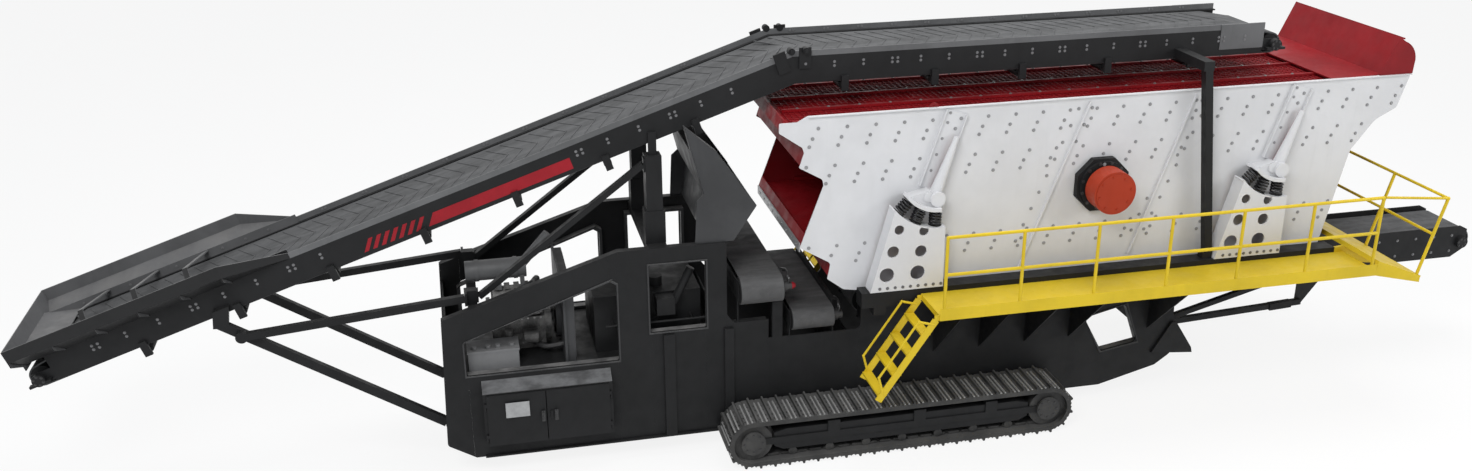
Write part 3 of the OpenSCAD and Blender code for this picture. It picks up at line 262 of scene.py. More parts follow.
def orange_finish():
    return paint("exciter_orange", (0.33, 0.032, 0.010), 0.45, 0.03, (0.4, 0.12, 0.07), 0.15,
                 (0.16, 0.03, 0.02), 0.1, 0.08, 0.22).mat


def plate_finish():
    """Off-white outside, deep red on the face towards the decks and on the lifting lugs."""
    f = paint("plate_white_outside_red_inside", (0.60, 0.604, 0.618), 0.42, 0.08, (0.5, 0.48, 0.45), 0.2,
              (0.33, 0.31, 0.29), 0.05, 0.04)
    inward = f.sum("MULTIPLY", f.facing()[1], f.place()[1])
    inside = f.sum("LESS_THAN", inward, -0.4)
    lug = f.sum("GREATER_THAN", f.place()[2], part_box("screen_near_plate")[1].z - 0.058)
    f.over(f.sum("MAXIMUM", inside, lug), f.mix(f.noise(2.0, 5.0), (0.14, 0.0035, 0.006), DECK_RED))
    return f.mat


def hopper_finish():
    """Charcoal outside and worn grey where the material slides."""
    f = paint("hopper_worn_inside", (0.105, 0.106, 0.109), 0.5, 0.5, (0.2, 0.195, 0.19), 0.4,
              (0.06, 0.05, 0.045))
    across = f.sum("MULTIPLY", f.facing()[1], f.place()[1])
    outside = f.sum("MAXIMUM", f.sum("GREATER_THAN", across, 0.2), f.sum("LESS_THAN", f.facing()[0], -0.6))
    f.over(outside, (0.0115, 0.0118, 0.0125))
    return f.mat


def belt_finish(name="belt_rubber", base=(0.080, 0.081, 0.083)):
    """Matt rubber with grit dragged along the belt."""
    f = Finish(name, 0.78, 0.0, 0.2)
    grit = f.noise(1.0, 6.0, 0.65, f.stretch((1.5, 6.0, 1.5)))
    tone = f.mix(f.band(grit, 0.3, 0.7), shade(base, 0.75), shade(base, 1.25))
    tone = f.mix(f.band(f.noise(38.0, 6.0, 0.7), 0.55, 0.75, 0.0, 0.3), tone, (0.15, 0.145, 0.135))
    f.colour(tone)
    f.rough(f.band(f.noise(9.0), 0.3, 0.7, 0.68, 0.9))
    f.relief(f.noise(240.0, 3.0), 0.2, 0.002)
    return f.mat


def track_finish():
    """Muddy cast steel, with a painted highlight that makes the upward faces paler."""
    f = Finish("track_steel", 0.55, 0.35)
    mud = f.noise(2.6, 8.0, 0.7)
    tone = f.mix(f.band(mud, 0.35, 0.7), (0.022, 0.0222, 0.0225), (0.062, 0.061, 0.059))
    tone = f.mix(f.band(f.noise(19.0, 7.0, 0.7), 0.58, 0.74, 0.0, 0.5), tone, (0.115, 0.110, 0.102))
    # painted highlight: upward faces are mixed towards a pale grey
    f.colour(f.mix(f.band(f.facing()[2], 0.6, 0.95, 0.0, 0.7), tone, (0.14, 0.139, 0.137)))
    f.rough(f.band(mud, 0.3, 0.7, 0.45, 0.8))
    f.relief(f.noise(90.0, 4.0), 0.25, 0.003)
    return f.mat


def spring_finish():
    """Black coated spring wire."""
    f = Finish("spring_black", 0.35, 0.6)
    f.colour(f.mix(f.noise(30.0, 5.0), (0.012, 0.012, 0.013), (0.04, 0.04, 0.042)))
    f.relief(f.noise(200.0), 0.05, 0.001)
    return f.mat


def steel_finish(name="zinc_bolts", base=(0.30, 0.30, 0.30), metal=0.75):
    """Plain or plated metal with a slightly uneven tone."""
    f = Finish(name, 0.38, metal)
    f.colour(f.mix(f.noise(15.0, 5.0), shade(base, 0.7), shade(base, 1.25)))
    f.rough(f.band(f.noise(25.0), 0.3, 0.7, 0.3, 0.5))
    return f.mat


def engine_finish():
    """Oily grey casting."""
    f = Finish("engine_casting", 0.5, 0.3)
    oil = f.noise(5.0, 8.0, 0.7)
    f.colour(f.mix(f.band(oil, 0.35, 0.7), (0.05, 0.0495, 0.049), (0.22, 0.217, 0.212)))
    f.rough(f.band(oil, 0.3, 0.7, 0.35, 0.7))
    f.relief(f.noise(60.0, 5.0), 0.3, 0.004)
    return f.mat


FINISH = {
    "charcoal_paint": charcoal_finish(),
    "grey_paint": grey_finish(),
    "belt_rubber": belt_finish(),
    "white_paint": plate_finish(),
    "red_paint": red_finish(),
    "orange_paint": orange_finish(),
    "yellow_paint": yellow_finish(),
    "track_steel": track_finish(),
    "spring_steel": spring_finish(),
    "engine_iron": engine_finish(),
}
BOLT = steel_finish()
DULL_BOLT = steel_finish("dull_bolts", (0.16, 0.16, 0.165), 0.3)
PLATE_BOLT = steel_finish("painted_bolts", (0.27, 0.272, 0.278), 0.0)
STEEL = steel_finish("bare_steel", (0.34, 0.345, 0.35), 0.5)
TRIM_RED = red_finish("trim_red", (0.26, 0.008, 0.015))
HOSE = steel_finish("black_hose", (0.03, 0.03, 0.031), 0.1)
# painted highlight: the track ribs are pale steel that stands in for glints on the grousers
RIB_HIGHLIGHT = steel_finish("rib_painted_highlight", (0.30, 0.299, 0.296), 0.1)
HOPPER = hopper_finish()
CHUTE = grey_finish("chute_grey", (0.040, 0.041, 0.043), 0.15)
DUSTY_BELT = belt_finish("dusty_belt_rubber", (0.075, 0.075, 0.076))
# painted highlight: the lips' upward faces (the sills) get a strong pale tone over some dust
LIP = charcoal_finish("lips_dust_and_painted_sill_light", (0.046, 0.0465, 0.048), 0.85, (0.28, 0.275, 0.27))


def dress(node, mat):
    """Gives a CAD node its finish."""
    o = NODES[node]
    if not o.material_slots:
        o.data.materials.append(mat)
    for s in o.material_slots:
        s.material = mat


for part in frame["record"]["subparts"]:
    dress(part["node"], FINISH[part["material_slot"]])
dress("feed_hopper", HOPPER)
dress("discharge_chute", CHUTE)
dress("radiator", CHUTE)
dress("cross_belts", DUSTY_BELT)
dress("hydraulic_tank", FINISH["charcoal_paint"])
dress("battery_box", grey_finish("battery_grey", (0.17, 0.172, 0.176)))
dress("control_cabinet", hood_finish())


# Tools for the added pieces

def piece(name, mesh, body, mat=None):
    """A finished object at the origin that rides a body; with no body it is left unattached."""
    mesh.name = name
    if mat:
        mesh.materials.append(mat)
    o = bpy.data.objects.new(name, mesh)
    bpy.context.scene.collection.objects.link(o)
    if body:
        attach(o, body)
    return o


SHARP = 0.6                              # radians, the least turn of an edge that is bevelled
BOSS_TAPER = 0.94                        # radius of a boss at its end as a share of that at its foot
SQUARE = 0.9                             # cosine of the most that a face may lean from the line to it
FLAT = 0.004                             # the most that a flat face may rise or fall around a spot


class Shape:
    """Boxes, plates and tubes gathered into one mesh."""

    def __init__(self):
        self.bm = bmesh.new()

    def box(self, a, b):
        """A block between two opposite corners."""
        mid, size = (a + b) / 2, b - a
        scale = Vector([max(abs(v), 1e-4) for v in size])
        bmesh.ops.create_cube(self.bm, size=1.0, matrix=Matrix.LocRotScale(mid, None, scale))

    def sheet(self, outline, thick):
        """A flat outline of points, thickened along the vector thick."""
        low = [self.bm.verts.new(p) for p in outline]
        high = [self.bm.verts.new(p + thick) for p in outline]
        n = len(outline)
        self.bm.faces.new(low[::-1])
        self.bm.faces.new(high)
        for i in range(n):
            self.bm.faces.new((low[i], low[(i + 1) % n], high[(i + 1) % n], high[i]))

    def frame(self, outer, inner, thick):
        """A flat ring between two outlines with as many points each, thickened along the vector thick."""
        n = len(outer)
        rows = [[self.bm.verts.new(p + d) for p in outline]
                for outline in (outer, inner) for d in (Vector(), thick)]
        for a, b in ((0, 1), (3, 2), (1, 3), (2, 0)):
            for i in range(n):
                j = (i + 1) % n
                self.bm.faces.new((rows[a][i], rows[a][j], rows[b][j], rows[b][i]))

    def tube(self, path, r, sides=10):
        """A round tube along a smooth line through the points of path."""
        pts = smooth_line(path)
        rings = []
        side = None
        for i, p in enumerate(pts):
            ahead = (pts[min(i + 1, len(pts) - 1)] - pts[max(i - 1, 0)]).normalized()
            side = (side - ahead * side.dot(ahead)).normalized() if side else ahead.orthogonal().normalized()
            up = ahead.cross(side)
            turn = [2 * math.pi * k / sides for k in range(sides)]
            rings.append([self.bm.verts.new(p + r * (math.cos(t) * side + math.sin(t) * up)) for t in turn])
        for a, b in zip(rings, rings[1:]):
            for k in range(sides):
                self.bm.faces.new((a[k], a[(k + 1) % sides], b[(k + 1) % sides], b[k]))
        self.bm.faces.new(rings[0][::-1])
        self.bm.faces.new(rings[-1])

    def disc(self, centre, axis, r, depth):
        """A round boss that stands on centre along axis."""
        turn = Vector(axis).to_track_quat("Z", "Y")
        place = Matrix.LocRotScale(centre + Vector(axis) * depth / 2, turn, None)
        bmesh.ops.create_cone(self.bm, cap_ends=True, segments=24, radius1=r, radius2=r * BOSS_TAPER,
                              depth=depth, matrix=place)

    def put(self, name, body, slot, mat, bevel=0.0):
        """Turns what was gathered into a piece."""
        bmesh.ops.recalc_face_normals(self.bm, faces=self.bm.faces)
        if bevel:
            sharp = [e for e in self.bm.edges if e.is_manifold and e.calc_face_angle() > SHARP]
            bmesh.ops.bevel(self.bm, geom=sharp, offset=bevel, segments=2, affect="EDGES", clamp_overlap=True)
        me = bpy.data.meshes.new(name)
        self.bm.to_mesh(me)
        self.bm.free()
        return piece(name, me, body, mat)


def smooth_line(path, steps=6):
    """Points of a smooth curve through the points of path."""
    pts = [path[0] * 2 - path[1]] + list(path) + [path[-1] * 2 - path[-2]]
    out = []
    for a, b, c, d in zip(pts, pts[1:], pts[2:], pts[3:]):
        for k in range(steps):
            t = k / steps
            out.append(0.5 * (2 * b + (c - a) * t + (2 * a - 5 * b + 4 * c - d) * t * t
                              + (3 * b - a - 3 * c + d) * t ** 3))
    return out + [path[-1]]


class Skin:
    """Finds where a straight line first meets some CAD nodes."""

    def __init__(self, *names):
        bm = bmesh.new()
        for n in names:
            bm.from_mesh(NODES[n].data)
        self.tree = BVHTree.FromBMesh(bm)
        bm.free()

    def spot(self, start, toward, margin=0.04):
        """The point met and its outward direction, or None where the face isn't flat for margin around it."""
        toward = Vector(toward)
        point, normal, _, _ = self.tree.ray_cast(start, toward)
        if point is None or normal.dot(toward) > -SQUARE:
            return None
        side = toward.orthogonal().normalized() * margin
        for shift in (side, -side, toward.cross(side), -toward.cross(side)):
            near = self.tree.ray_cast(start + shift, toward)[0]
            if near is None or abs((near - point - shift).dot(normal)) > FLAT:
                return None
        return point, normal

    def spots(self, starts, toward, margin):
        """Those of the lines that meet a flat face, as points with their outward directions."""
        found = (self.spot(p, toward, margin) for p in starts)
        return [f for f in found if f]


def ring(centre, axis, r, n, turn=0.0):
    """Spots evenly round a circle, all facing along axis."""
    axis = Vector(axis)
    side = axis.orthogonal().normalized()
    up = axis.cross(side)
    angles = [turn + 2 * math.pi * k / n for k in range(n)]
    return [(centre + r * (math.cos(a) * side + math.sin(a) * up), axis) for a in angles]


# Geometry Nodes trees for what repeats

SOCKETS = {float: "NodeSocketFloat", int: "NodeSocketInt", tuple: "NodeSocketVector",
           type(None): "NodeSocketMaterial"}


class Tree:
    """A Geometry Nodes tree with named inputs that ends in one plain mesh with one finish."""

    def __init__(self, name, **inputs):
        self.group = bpy.data.node_groups.new(name, "GeometryNodeTree")
        face = self.group.interface
        for side in ("INPUT", "OUTPUT"):
            face.new_socket("Geometry", in_out=side, socket_type="NodeSocketGeometry")
        for k, v in {**inputs, "Finish": None}.items():
            s = face.new_socket(k, in_out="INPUT", socket_type=SOCKETS[type(v)])
            if v is not None:
                s.default_value = v
        self.given = self.group.nodes.new("NodeGroupInput").outputs
        self.end = self.group.nodes.new("NodeGroupOutput")

    def add(self, kind, inputs, **props):
        """A node with its inputs linked or set; gives its first output."""
        n = self.group.nodes.new(kind)
        for k, v in props.items():
            setattr(n, k, v)
        for k, v in inputs.items():
            if isinstance(v, bpy.types.NodeSocket):
                self.group.links.new(v, n.inputs[k])
            else:
                n.inputs[k].default_value = v
        return n.outputs[0]

    def times(self, a, k):
        """A value k times as large."""
        return self.add("ShaderNodeMath", {0: a, 1: k}, operation="MULTIPLY")

    def raised(self, geometry, height):
        """A shape moved up its own axis."""
        up = self.add("ShaderNodeCombineXYZ", {"Z": height})
        return self.add("GeometryNodeTransform", {"Geometry": geometry, "Translation": up})

    def joined(self, *parts):
        """Several shapes as one."""
        n = self.group.nodes.new("GeometryNodeJoinGeometry")
        for p in parts:
            self.group.links.new(p, n.inputs[0])
        return n.outputs[0]

    def done(self, geometry):
        """Ends the tree in one plain mesh with its finish."""
        real = self.add("GeometryNodeRealizeInstances", {"Geometry": geometry})
        dressed = self.add("GeometryNodeSetMaterial", {"Geometry": real, "Material": self.given["Finish"]})
        self.group.links.new(dressed, self.end.inputs[0])
        return self.group


def along_axis(t):
    """The rotation that stands a shape along its spot's own axis."""
    axis = t.add("GeometryNodeInputNamedAttribute", {"Name": "axis"}, data_type="FLOAT_VECTOR")
    return t.add("FunctionNodeAlignRotationToVector", {"Vector": axis}, axis="Z")


def bolt_tree():
    """A hexagon head on its washer at each spot, each turned by chance about its axis."""
    t = Tree("bolt_heads", Radius=0.02, Height=0.014, Seed=5)
    r, h = t.given["Radius"], t.given["Height"]
    head = t.add("GeometryNodeMeshCylinder", {"Vertices": 6, "Radius": r, "Depth": h})
    washer = t.add("GeometryNodeMeshCylinder",
                   {"Vertices": 12, "Radius": t.times(r, 1.5), "Depth": t.times(h, 0.35)})
    bolt = t.joined(t.raised(head, t.times(h, 0.6)), t.raised(washer, t.times(h, 0.16)))
    chance = t.group.nodes.new("FunctionNodeRandomValue")
    t.group.links.new(t.given["Seed"], chance.inputs["Seed"])
    spin = t.add("FunctionNodeAxisAngleToRotation", {"Angle": chance.outputs[1]})
    turn = t.add("FunctionNodeRotateRotation", {"Rotation": along_axis(t), "Rotate By": spin},
                 rotation_space="LOCAL")
    spots = t.add("GeometryNodeInstanceOnPoints",
                  {"Points": t.given["Geometry"], "Instance": bolt, "Rotation": turn})
    return t.done(spots)


def rod_tree():
    """A straight round rod of one length at each spot, along the spot's axis."""
    t = Tree("straight_rods", Radius=0.004, Length=1.0)
    rod = t.add("GeometryNodeMeshCylinder",
                {"Vertices": 6, "Radius": t.given["Radius"], "Depth": t.given["Length"]})
    spots = t.add("GeometryNodeInstanceOnPoints",
                  {"Points": t.given["Geometry"], "Instance": rod, "Rotation": along_axis(t)})
    return t.done(spots)


def slat_tree():
    """A row of equal slats from each start point."""
    t = Tree("slat_row", Count=10, Step=(0.1, 0.0, 0.0), Size=(0.01, 0.1, 0.1))
    slat = t.add("GeometryNodeMeshCube", {"Size": t.given["Size"]})
    row = t.add("GeometryNodeMeshLine", {"Count": t.given["Count"], "Offset": t.given["Step"]})
    slats = t.add("GeometryNodeInstanceOnPoints", {"Points": row, "Instance": slat})
    rows = t.add("GeometryNodeInstanceOnPoints", {"Points": t.given["Geometry"], "Instance": slats})
    return t.done(rows)


def cleat_tree():
    """V-shaped cleats at even spacing along a belt's line."""
    t = Tree("belt_cleats", Spacing=0.19, Bar=(0.6, 0.015, 0.02), Shift=(-0.1, 0.2, 0.0), Turn=0.5)
    bar = t.add("GeometryNodeMeshCube", {"Size": t.given["Bar"]})
    arms = []
    for side in SIDES:
        flip = t.add("ShaderNodeCombineXYZ", {"X": 1.0, "Y": float(side), "Z": 1.0})
        shift = t.add("ShaderNodeVectorMath", {0: t.given["Shift"], 1: flip}, operation="MULTIPLY")
        turn = t.add("ShaderNodeCombineXYZ", {"Z": t.times(t.given["Turn"], -float(side))})
        arms.append(t.add("GeometryNodeTransform", {"Geometry": bar, "Translation": shift, "Rotation": turn}))
    line = t.add("GeometryNodeMeshToCurve", {"Mesh": t.given["Geometry"]})
    steps = t.add("GeometryNodeResampleCurve", {"Curve": line, "Length": t.given["Spacing"]}, mode="LENGTH")
    ahead = t.add("GeometryNodeInputTangent", {})
    turn = t.add("FunctionNodeAlignRotationToVector", {"Vector": ahead}, axis="X", pivot_axis="Y")
    cleats = t.add("GeometryNodeInstanceOnPoints",
                   {"Points": steps, "Instance": t.joined(*arms), "Rotation": turn})
    return t.done(cleats)


def coil_tree():
    """A coil between two discs at each spot, along the spot's axis."""
    t = Tree("coil_springs", Turns=4.0, Coil=0.068, Wire=0.014, Rise=0.15, Base=0.02, Disc=0.082, Thick=0.008,
             Top=0.19)
    r = t.given["Coil"]
    line = t.add("GeometryNodeCurveSpiral", {"Resolution": 22, "Rotations": t.given["Turns"],
                                             "Start Radius": r, "End Radius": r, "Height": t.given["Rise"]})
    section = t.add("GeometryNodeCurvePrimitiveCircle", {"Resolution": 8, "Radius": t.given["Wire"]})
    wire = t.add("GeometryNodeCurveToMesh", {"Curve": line, "Profile Curve": section, "Fill Caps": True})
    disc = t.add("GeometryNodeMeshCylinder",
                 {"Vertices": 28, "Radius": t.given["Disc"], "Depth": t.given["Thick"]})
    spring = t.joined(t.raised(wire, t.given["Base"]), t.raised(disc, t.times(t.given["Thick"], 0.5)),
                      t.raised(disc, t.given["Top"]))
    spots = t.add("GeometryNodeInstanceOnPoints",
                  {"Points": t.given["Geometry"], "Instance": spring, "Rotation": along_axis(t)})
    return t.done(spots)


BOLTS, RODS, SLATS, CLEATS, COILS = bolt_tree(), rod_tree(), slat_tree(), cleat_tree(), coil_tree()


def grow(name, tree, seed, body, slot, mat, **values):
    """Runs a tree on a seed mesh and keeps the plain mesh that it makes."""
    o = bpy.data.objects.new(name + "_seed", seed)
    bpy.context.scene.collection.objects.link(o)
    mod = o.modifiers.new("grow", "NODES")
    mod.node_group = tree
    for item in tree.interface.items_tree:
        if item.in_out == "INPUT" and item.name in {**values, "Finish": mat}:
            mod[item.identifier] = mat if item.name == "Finish" else values[item.name]
    plain = bpy.data.meshes.new_from_object(o.evaluated_get(bpy.context.evaluated_depsgraph_get()))
    o.modifiers.clear()
    bpy.data.objects.remove(o)
    bpy.data.meshes.remove(seed)
    return piece(name, plain, body)


def spot_mesh(spots):
    """Loose points that know their axis."""
    me = bpy.data.meshes.new("spots")
    me.from_pydata([p for p, _ in spots], [], [])
    axis = me.attributes.new("axis", "FLOAT_VECTOR", "POINT")
    axis.data.foreach_set("vector", [c for _, n in spots for c in n])
    return me


def bolts(name, spots, body, slot, r, mat=None):
    """Bolt heads of radius r at the spots."""
    return grow(name, BOLTS, spot_mesh(spots), body, slot, mat or BOLT, Radius=r, Height=r * 0.7)


# Fasteners

def screen_bolts():
    """Triplets of bolts along the three decks and single ones beside the ribs, where the plates are bare."""
    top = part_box("screen_near_plate")[1].z - 0.06
    triplet = ((0.0, 0.0), (-0.07, -0.125), (-0.11, -0.225))
    below_top = (0.16, 0.64, 1.69)
    first, pitch, count, slope = 4.25, 0.36, 26, 0.3
    rib_foot, rib_head, rib_lean, rib_bolts = 2.6, 4.3, 0.42, 9
    found = []
    for s in SIDES:
        plate = Skin("screen_near_plate" if s < 0 else "screen_far_plate", "spring_brackets", "exciter")
        starts = [at(first + pitch * k + dx - slope * d, s * OUTSIDE, top - d + dz)
                  for d in below_top for k in range(count) for dx, dz in triplet]
        for rib_x in (6.92, 8.53):
            for k in range(rib_bolts):
                z = rib_foot + (rib_head - rib_foot) * k / (rib_bolts - 1)
                starts += [at(rib_x + rib_lean * (z - rib_foot) + dx, s * OUTSIDE, z) for dx in (-0.08, 0.10)]
        found += plate.spots(starts, (0, -s, 0), 0.035)
    bolts("screen_plate_bolts", found, SCREEN, "white_paint", 0.0155, PLATE_BOLT)


def bracket_bolts():
    """Bolts through the channels that hang over the springs: a row across the top and pairs below it."""
    front, top_row, first_pair, drop, lean = 5.94, 4.37, 4.25, 0.2, 0.31
    found = []
    for s in SIDES:
        skin = Skin("spring_brackets")
        for x0 in (front, front + SEAT_PITCH):
            starts = [at(x0 + dx, s * OUTSIDE, top_row) for dx in (-0.08, 0.0, 0.08)]
            starts += [at(x0 - lean * drop * k + dx, s * OUTSIDE, first_pair - drop * k)
                       for k in range(4) for dx in (-0.11, 0.09)]
            found += skin.spots(starts, (0, -s, 0), 0.016)
    bolts("bracket_bolts", found, SCREEN, "white_paint", 0.013, PLATE_BOLT)


def conveyor_bolts():
    """Pairs of bolts along the stringers, each third one doubled, and bolts inside the skirts and boards."""
    rows, one, two, close = (0.085, 0.135), (0.0,), (0.0, 0.07), (0.0, 0.045)
    pitch, past_stripe = 0.4, 6.72
    before = [0.7 + pitch * k for k in range(8)]
    after = [past_stripe + pitch * k for k in range(6)]
    skirt_row, board_row = 0.26, 0.28
    found = []
    for s in SIDES:
        web = Skin("incline_stringers", "level_stringers", "skirt_plates", "conveyor_posts")
        for k in range(17):
            wide = two if k % 3 == 0 and k else one
            starts = [at(4.17 + 0.368 * k + dx, s * OUTSIDE, KNEE.z + dz) for dx in wide for dz in rows]
            found += web.spots(starts, (0, -s, 0), 0.02)
        for u in before + after:
            wide = two if round((u - past_stripe) / pitch) % 3 == 0 else one
            starts = [sloped(u + dx, s * OUTSIDE, dz) for dx in wide for dz in rows]
            found += web.spots(starts, (0, -s, 0), 0.02)
        skirts = Skin("skirt_plates")
        for k in range(13):
            starts = [at(4.3 + 0.46 * k + dx, 0.0, KNEE.z + skirt_row) for dx in close]
            found += skirts.spots(starts, (0, s, 0), 0.016)
        for k in range(11):
            starts = [sloped(3.5 + 0.54 * k + dx, 0.0, skirt_row) for dx in close]
            found += skirts.spots(starts, (0, s, 0), 0.016)
        starts = [sloped(0.4 + 0.3 * k, 0.0, board_row) for k in range(9)]
        found += Skin("feed_hopper").spots(starts, (0, s, 0), 0.02)
    bolts("conveyor_bolts", found, CHASSIS, "charcoal_paint", 0.012, DULL_BOLT)


def coil_springs():
    """Springs fanned between the curved seats."""
    foot, long = 0.5333, 0.1944          # from the hub to a spring's upper disc, and the spring's length
    disc, thick, wire = 0.082, 0.008, 0.014
    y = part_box("springs")[1].y - disc
    for row, x in (("front", FAN_HUB[0]), ("rear", FAN_HUB[0] + SEAT_PITCH)):
        for k, turn in enumerate(SPRING_TURNS):
            a = math.radians(turn)
            out = Vector((math.cos(a), 0.0, math.sin(a)))
            high = at(x, 0.0, FAN_HUB[1]) + out * foot
            low = high + out * long
            spots = [(low + Vector((0, s * y, 0)), -out) for s in SIDES]
            o = grow("coil_springs_%s_%d" % (row, k + 1), COILS, spot_mesh(spots), None, "spring_steel",
                     FINISH["spring_steel"], Turns=4.0, Coil=disc - wire, Wire=wire, Disc=disc, Thick=thick,
                     Base=thick + 0.9 * wire, Rise=long - 2 * thick - 1.8 * wire, Top=long - thick / 2)
            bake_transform(o)
            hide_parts("springs")


def exciter_bolts():
    """Rings of bolts on the exciter's caps and flanges."""
    cap_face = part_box("exciter_caps")[1].y
    flange_face = cap_face - 0.308       # less the length of the cap and its collar
    centre = at(EXCITER[0], 0.0, EXCITER[1])
    caps, flanges = [], []
    for s in SIDES:
        axis = Vector((0, s, 0))
        caps += ring(centre + axis * cap_face, axis, 0.215, 8, 0.2)
        flanges += ring(centre + axis * flange_face, axis, 0.30, 12)
    bolts("exciter_cap_bolts", caps, SCREEN, "orange_paint", 0.013, FINISH["orange_paint"])
    bolts("exciter_flange_bolts", flanges, SCREEN, "charcoal_paint", 0.016, HOSE)


def track_point(share, proud):
    """A point proud of the track loop at a share of its length, and the way out of the loop there."""
    low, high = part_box("track_belts")
    grouser = 0.035
    r = (high.z - low.z) / 2 - grouser
    zc = (high.z + low.z) / 2
    left, right = low.x + r + grouser, high.x - r - grouser
    run, bend = right - left, math.pi * r
    s = share % 1.0 * 2 * (run + bend)
    if s < run:
        mid, out = Vector((left + s, 0, zc)), Vector((0, 0, -1))
    elif s < run + bend:
        a = (s - run) / r - math.pi / 2
        mid, out = Vector((right, 0, zc)), Vector((math.cos(a), 0, math.sin(a)))
    elif s < 2 * run + bend:
        mid, out = Vector((right - (s - run - bend), 0, zc)), Vector((0, 0, 1))
    else:
        a = (s - 2 * run - bend) / r + math.pi / 2
        mid, out = Vector((left, 0, zc)), Vector((math.cos(a), 0, math.sin(a)))
    return mid + out * (r + proud), out


def track_details():
    """Four bolts and two low ribs on each shoe and the chain of links inside each loop."""
    shoes, width = 53, 0.5
    bolts_at, ribs_at = (0.24, 0.74), (0.14, 0.84)
    bolt_rows, link_rows = (-0.17, -0.07, 0.07, 0.17), (-0.12, 0.12)
    link = Vector((0.15, 0.028, 0.028))
    heads, ribs, links = [], [], Shape()
    for s in SIDES:
        middle = s * (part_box("track_belts")[1].y - width / 2)
        for i in range(shoes):
            for part in bolts_at:
                p, out = track_point((i + part) / shoes, 0.0)
                heads += [(p + Vector((0, middle + dy, 0)), out) for dy in bolt_rows]
            for part in ribs_at:
                p, out = track_point((i + part) / shoes, 0.006)
                ribs.append((p + Vector((0, middle, 0)), Vector((0, 1, 0))))
            p, out = track_point((i + 0.5) / shoes, -0.075)
            if abs(out.z) > 0.99:
                for dy in link_rows:
                    a = p + Vector((-0.085, middle + dy - link.y / 2, -link.z / 2))
                    links.box(a, a + link)
    bolts("track_shoe_bolts", heads, CHASSIS, "track_steel", 0.014, FINISH["track_steel"])
    # the ribs' pale finish is a painted highlight on the grousers
    grow("track_ribs", RODS, spot_mesh(ribs), CHASSIS, "track_steel", RIB_HIGHLIGHT, Radius=0.012, Length=width - 0.02)
    links.put("track_links", CHASSIS, "track_steel", FINISH["track_steel"], 0.004)


def wheel_bolts():
    """Hub bolts of the track wheels and of the bearings of both conveyors."""
    found = []
    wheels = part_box("track_wheels")
    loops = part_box("track_belts")
    zc = (loops[0].z + loops[1].z) / 2
    for s in SIDES:
        axis = Vector((0, s, 0))
        for x in (loops[0].x + zc, loops[1].x - zc):
            found += ring(Vector((x, wheels[1].y * s, zc)), axis, 0.12, 8)
        for node, mid in (("tail_pulley", TAIL), ("head_pulley", HEAD)):
            found += ring(at(mid.x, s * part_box(node)[1].y, mid.z), axis, 0.055, 6)
        low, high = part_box("fines_pulley")
        for x in (low.x + 0.19, high.x - 0.19):
            found += ring(Vector((x, s * high.y, (low.z + high.z) / 2)), axis, 0.055, 6)
    bolts("hub_bolts", found, CHASSIS, "charcoal_paint", 0.012, HOSE)


def frame_bolts():
    """Rows of bolts on the spring pedestals, the fines stringers and the chassis sides."""
    front = 4.95
    found = []
    for s in SIDES:
        skin = Skin("spring_pedestals")
        starts = [at(x0 + 0.10 * k, s * OUTSIDE, 2.235)
                  for x0 in (front, front + SEAT_PITCH) for k in range(9)]
        found += skin.spots(starts, (0, -s, 0), 0.02)
        fines = Skin("fines_stringers")
        starts = [at(11.9 + 0.3 * k, s * OUTSIDE, z) for k in range(9) for z in (1.50, 1.74)]
        found += fines.spots(starts, (0, -s, 0), 0.02)
        side = Skin("near_side_plate" if s < 0 else "far_side_plate", "chassis_edges")
        starts = [at(5.2 + 0.5 * k + dx, s * OUTSIDE, 1.80) for k in range(11) for dx in (0.0, 0.07)]
        found += side.spots(starts, (0, -s, 0), 0.02)
    bolts("frame_bolts", found, CHASSIS, "charcoal_paint", 0.014, DULL_BOLT)


# Belts and decks

def belt_cleats():
    """Chevrons on the feed belt, from the hopper to the head."""
    half, back, high = 0.47, 0.26, 0.013
    line = [sloped(0.55, 0, CARRY), at(KNEE.x - 0.035, 0, KNEE.z + CARRY),
            at(HEAD.x - 0.5, 0, HEAD.z + CARRY)]
    seed = bpy.data.meshes.new("belt_line")
    seed.from_pydata(line, [(0, 1), (1, 2)], [])
    grow("belt_cleats", CLEATS, seed, CHASSIS, "belt_rubber", FINISH["belt_rubber"], Spacing=0.19,
         Bar=(math.hypot(half, back), 0.022, high), Shift=(-back / 2, half / 2, 0.0),
         Turn=math.atan2(half, back))


def wire_cloth():
    """Woven wire over the top deck, with its clamp bars."""
    low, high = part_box("top_deck")
    deck = Skin("top_deck").spot(at(7.0, 0.3, 5.0), (0, 0, -1))[0].z
    x0, x1, half = low.x + 0.16, high.x - 0.12, 1.09
    pitch, wire = 0.075, 0.005
    clamp_rows, clamp_w, clamp_h = (-1.07, -0.55, 0.0, 0.55, 1.07), 0.06, 0.04
    along = [(Vector(((x0 + x1) / 2, -half + pitch * k, deck + wire)), Vector((1, 0, 0)))
             for k in range(int(2 * half / pitch) + 1)]
    across = [(Vector((x0 + pitch * k, 0, deck + 2.6 * wire)), Vector((0, 1, 0)))
              for k in range(int((x1 - x0) / pitch) + 1)]
    for name, spots, long in (("deck_wires_along", along, x1 - x0), ("deck_wires_across", across, 2 * half)):
        grow(name, RODS, spot_mesh(spots), SCREEN, "red_paint", FINISH["red_paint"], Radius=wire, Length=long)
    clamps = Shape()
    for y in clamp_rows:
        clamps.box(Vector((x0, y - clamp_w / 2, deck)), Vector((x1, y + clamp_w / 2, deck + clamp_h)))
    clamps.put("deck_clamps", SCREEN, "red_paint", FINISH["red_paint"], 0.008)
    heads = [(Vector((x0 + 0.2 + 0.4 * k, y, deck + clamp_h)), Vector((0, 0, 1)))
             for k in range(19) for y in clamp_rows]
    bolts("deck_clamp_bolts", heads, SCREEN, "red_paint", 0.014)


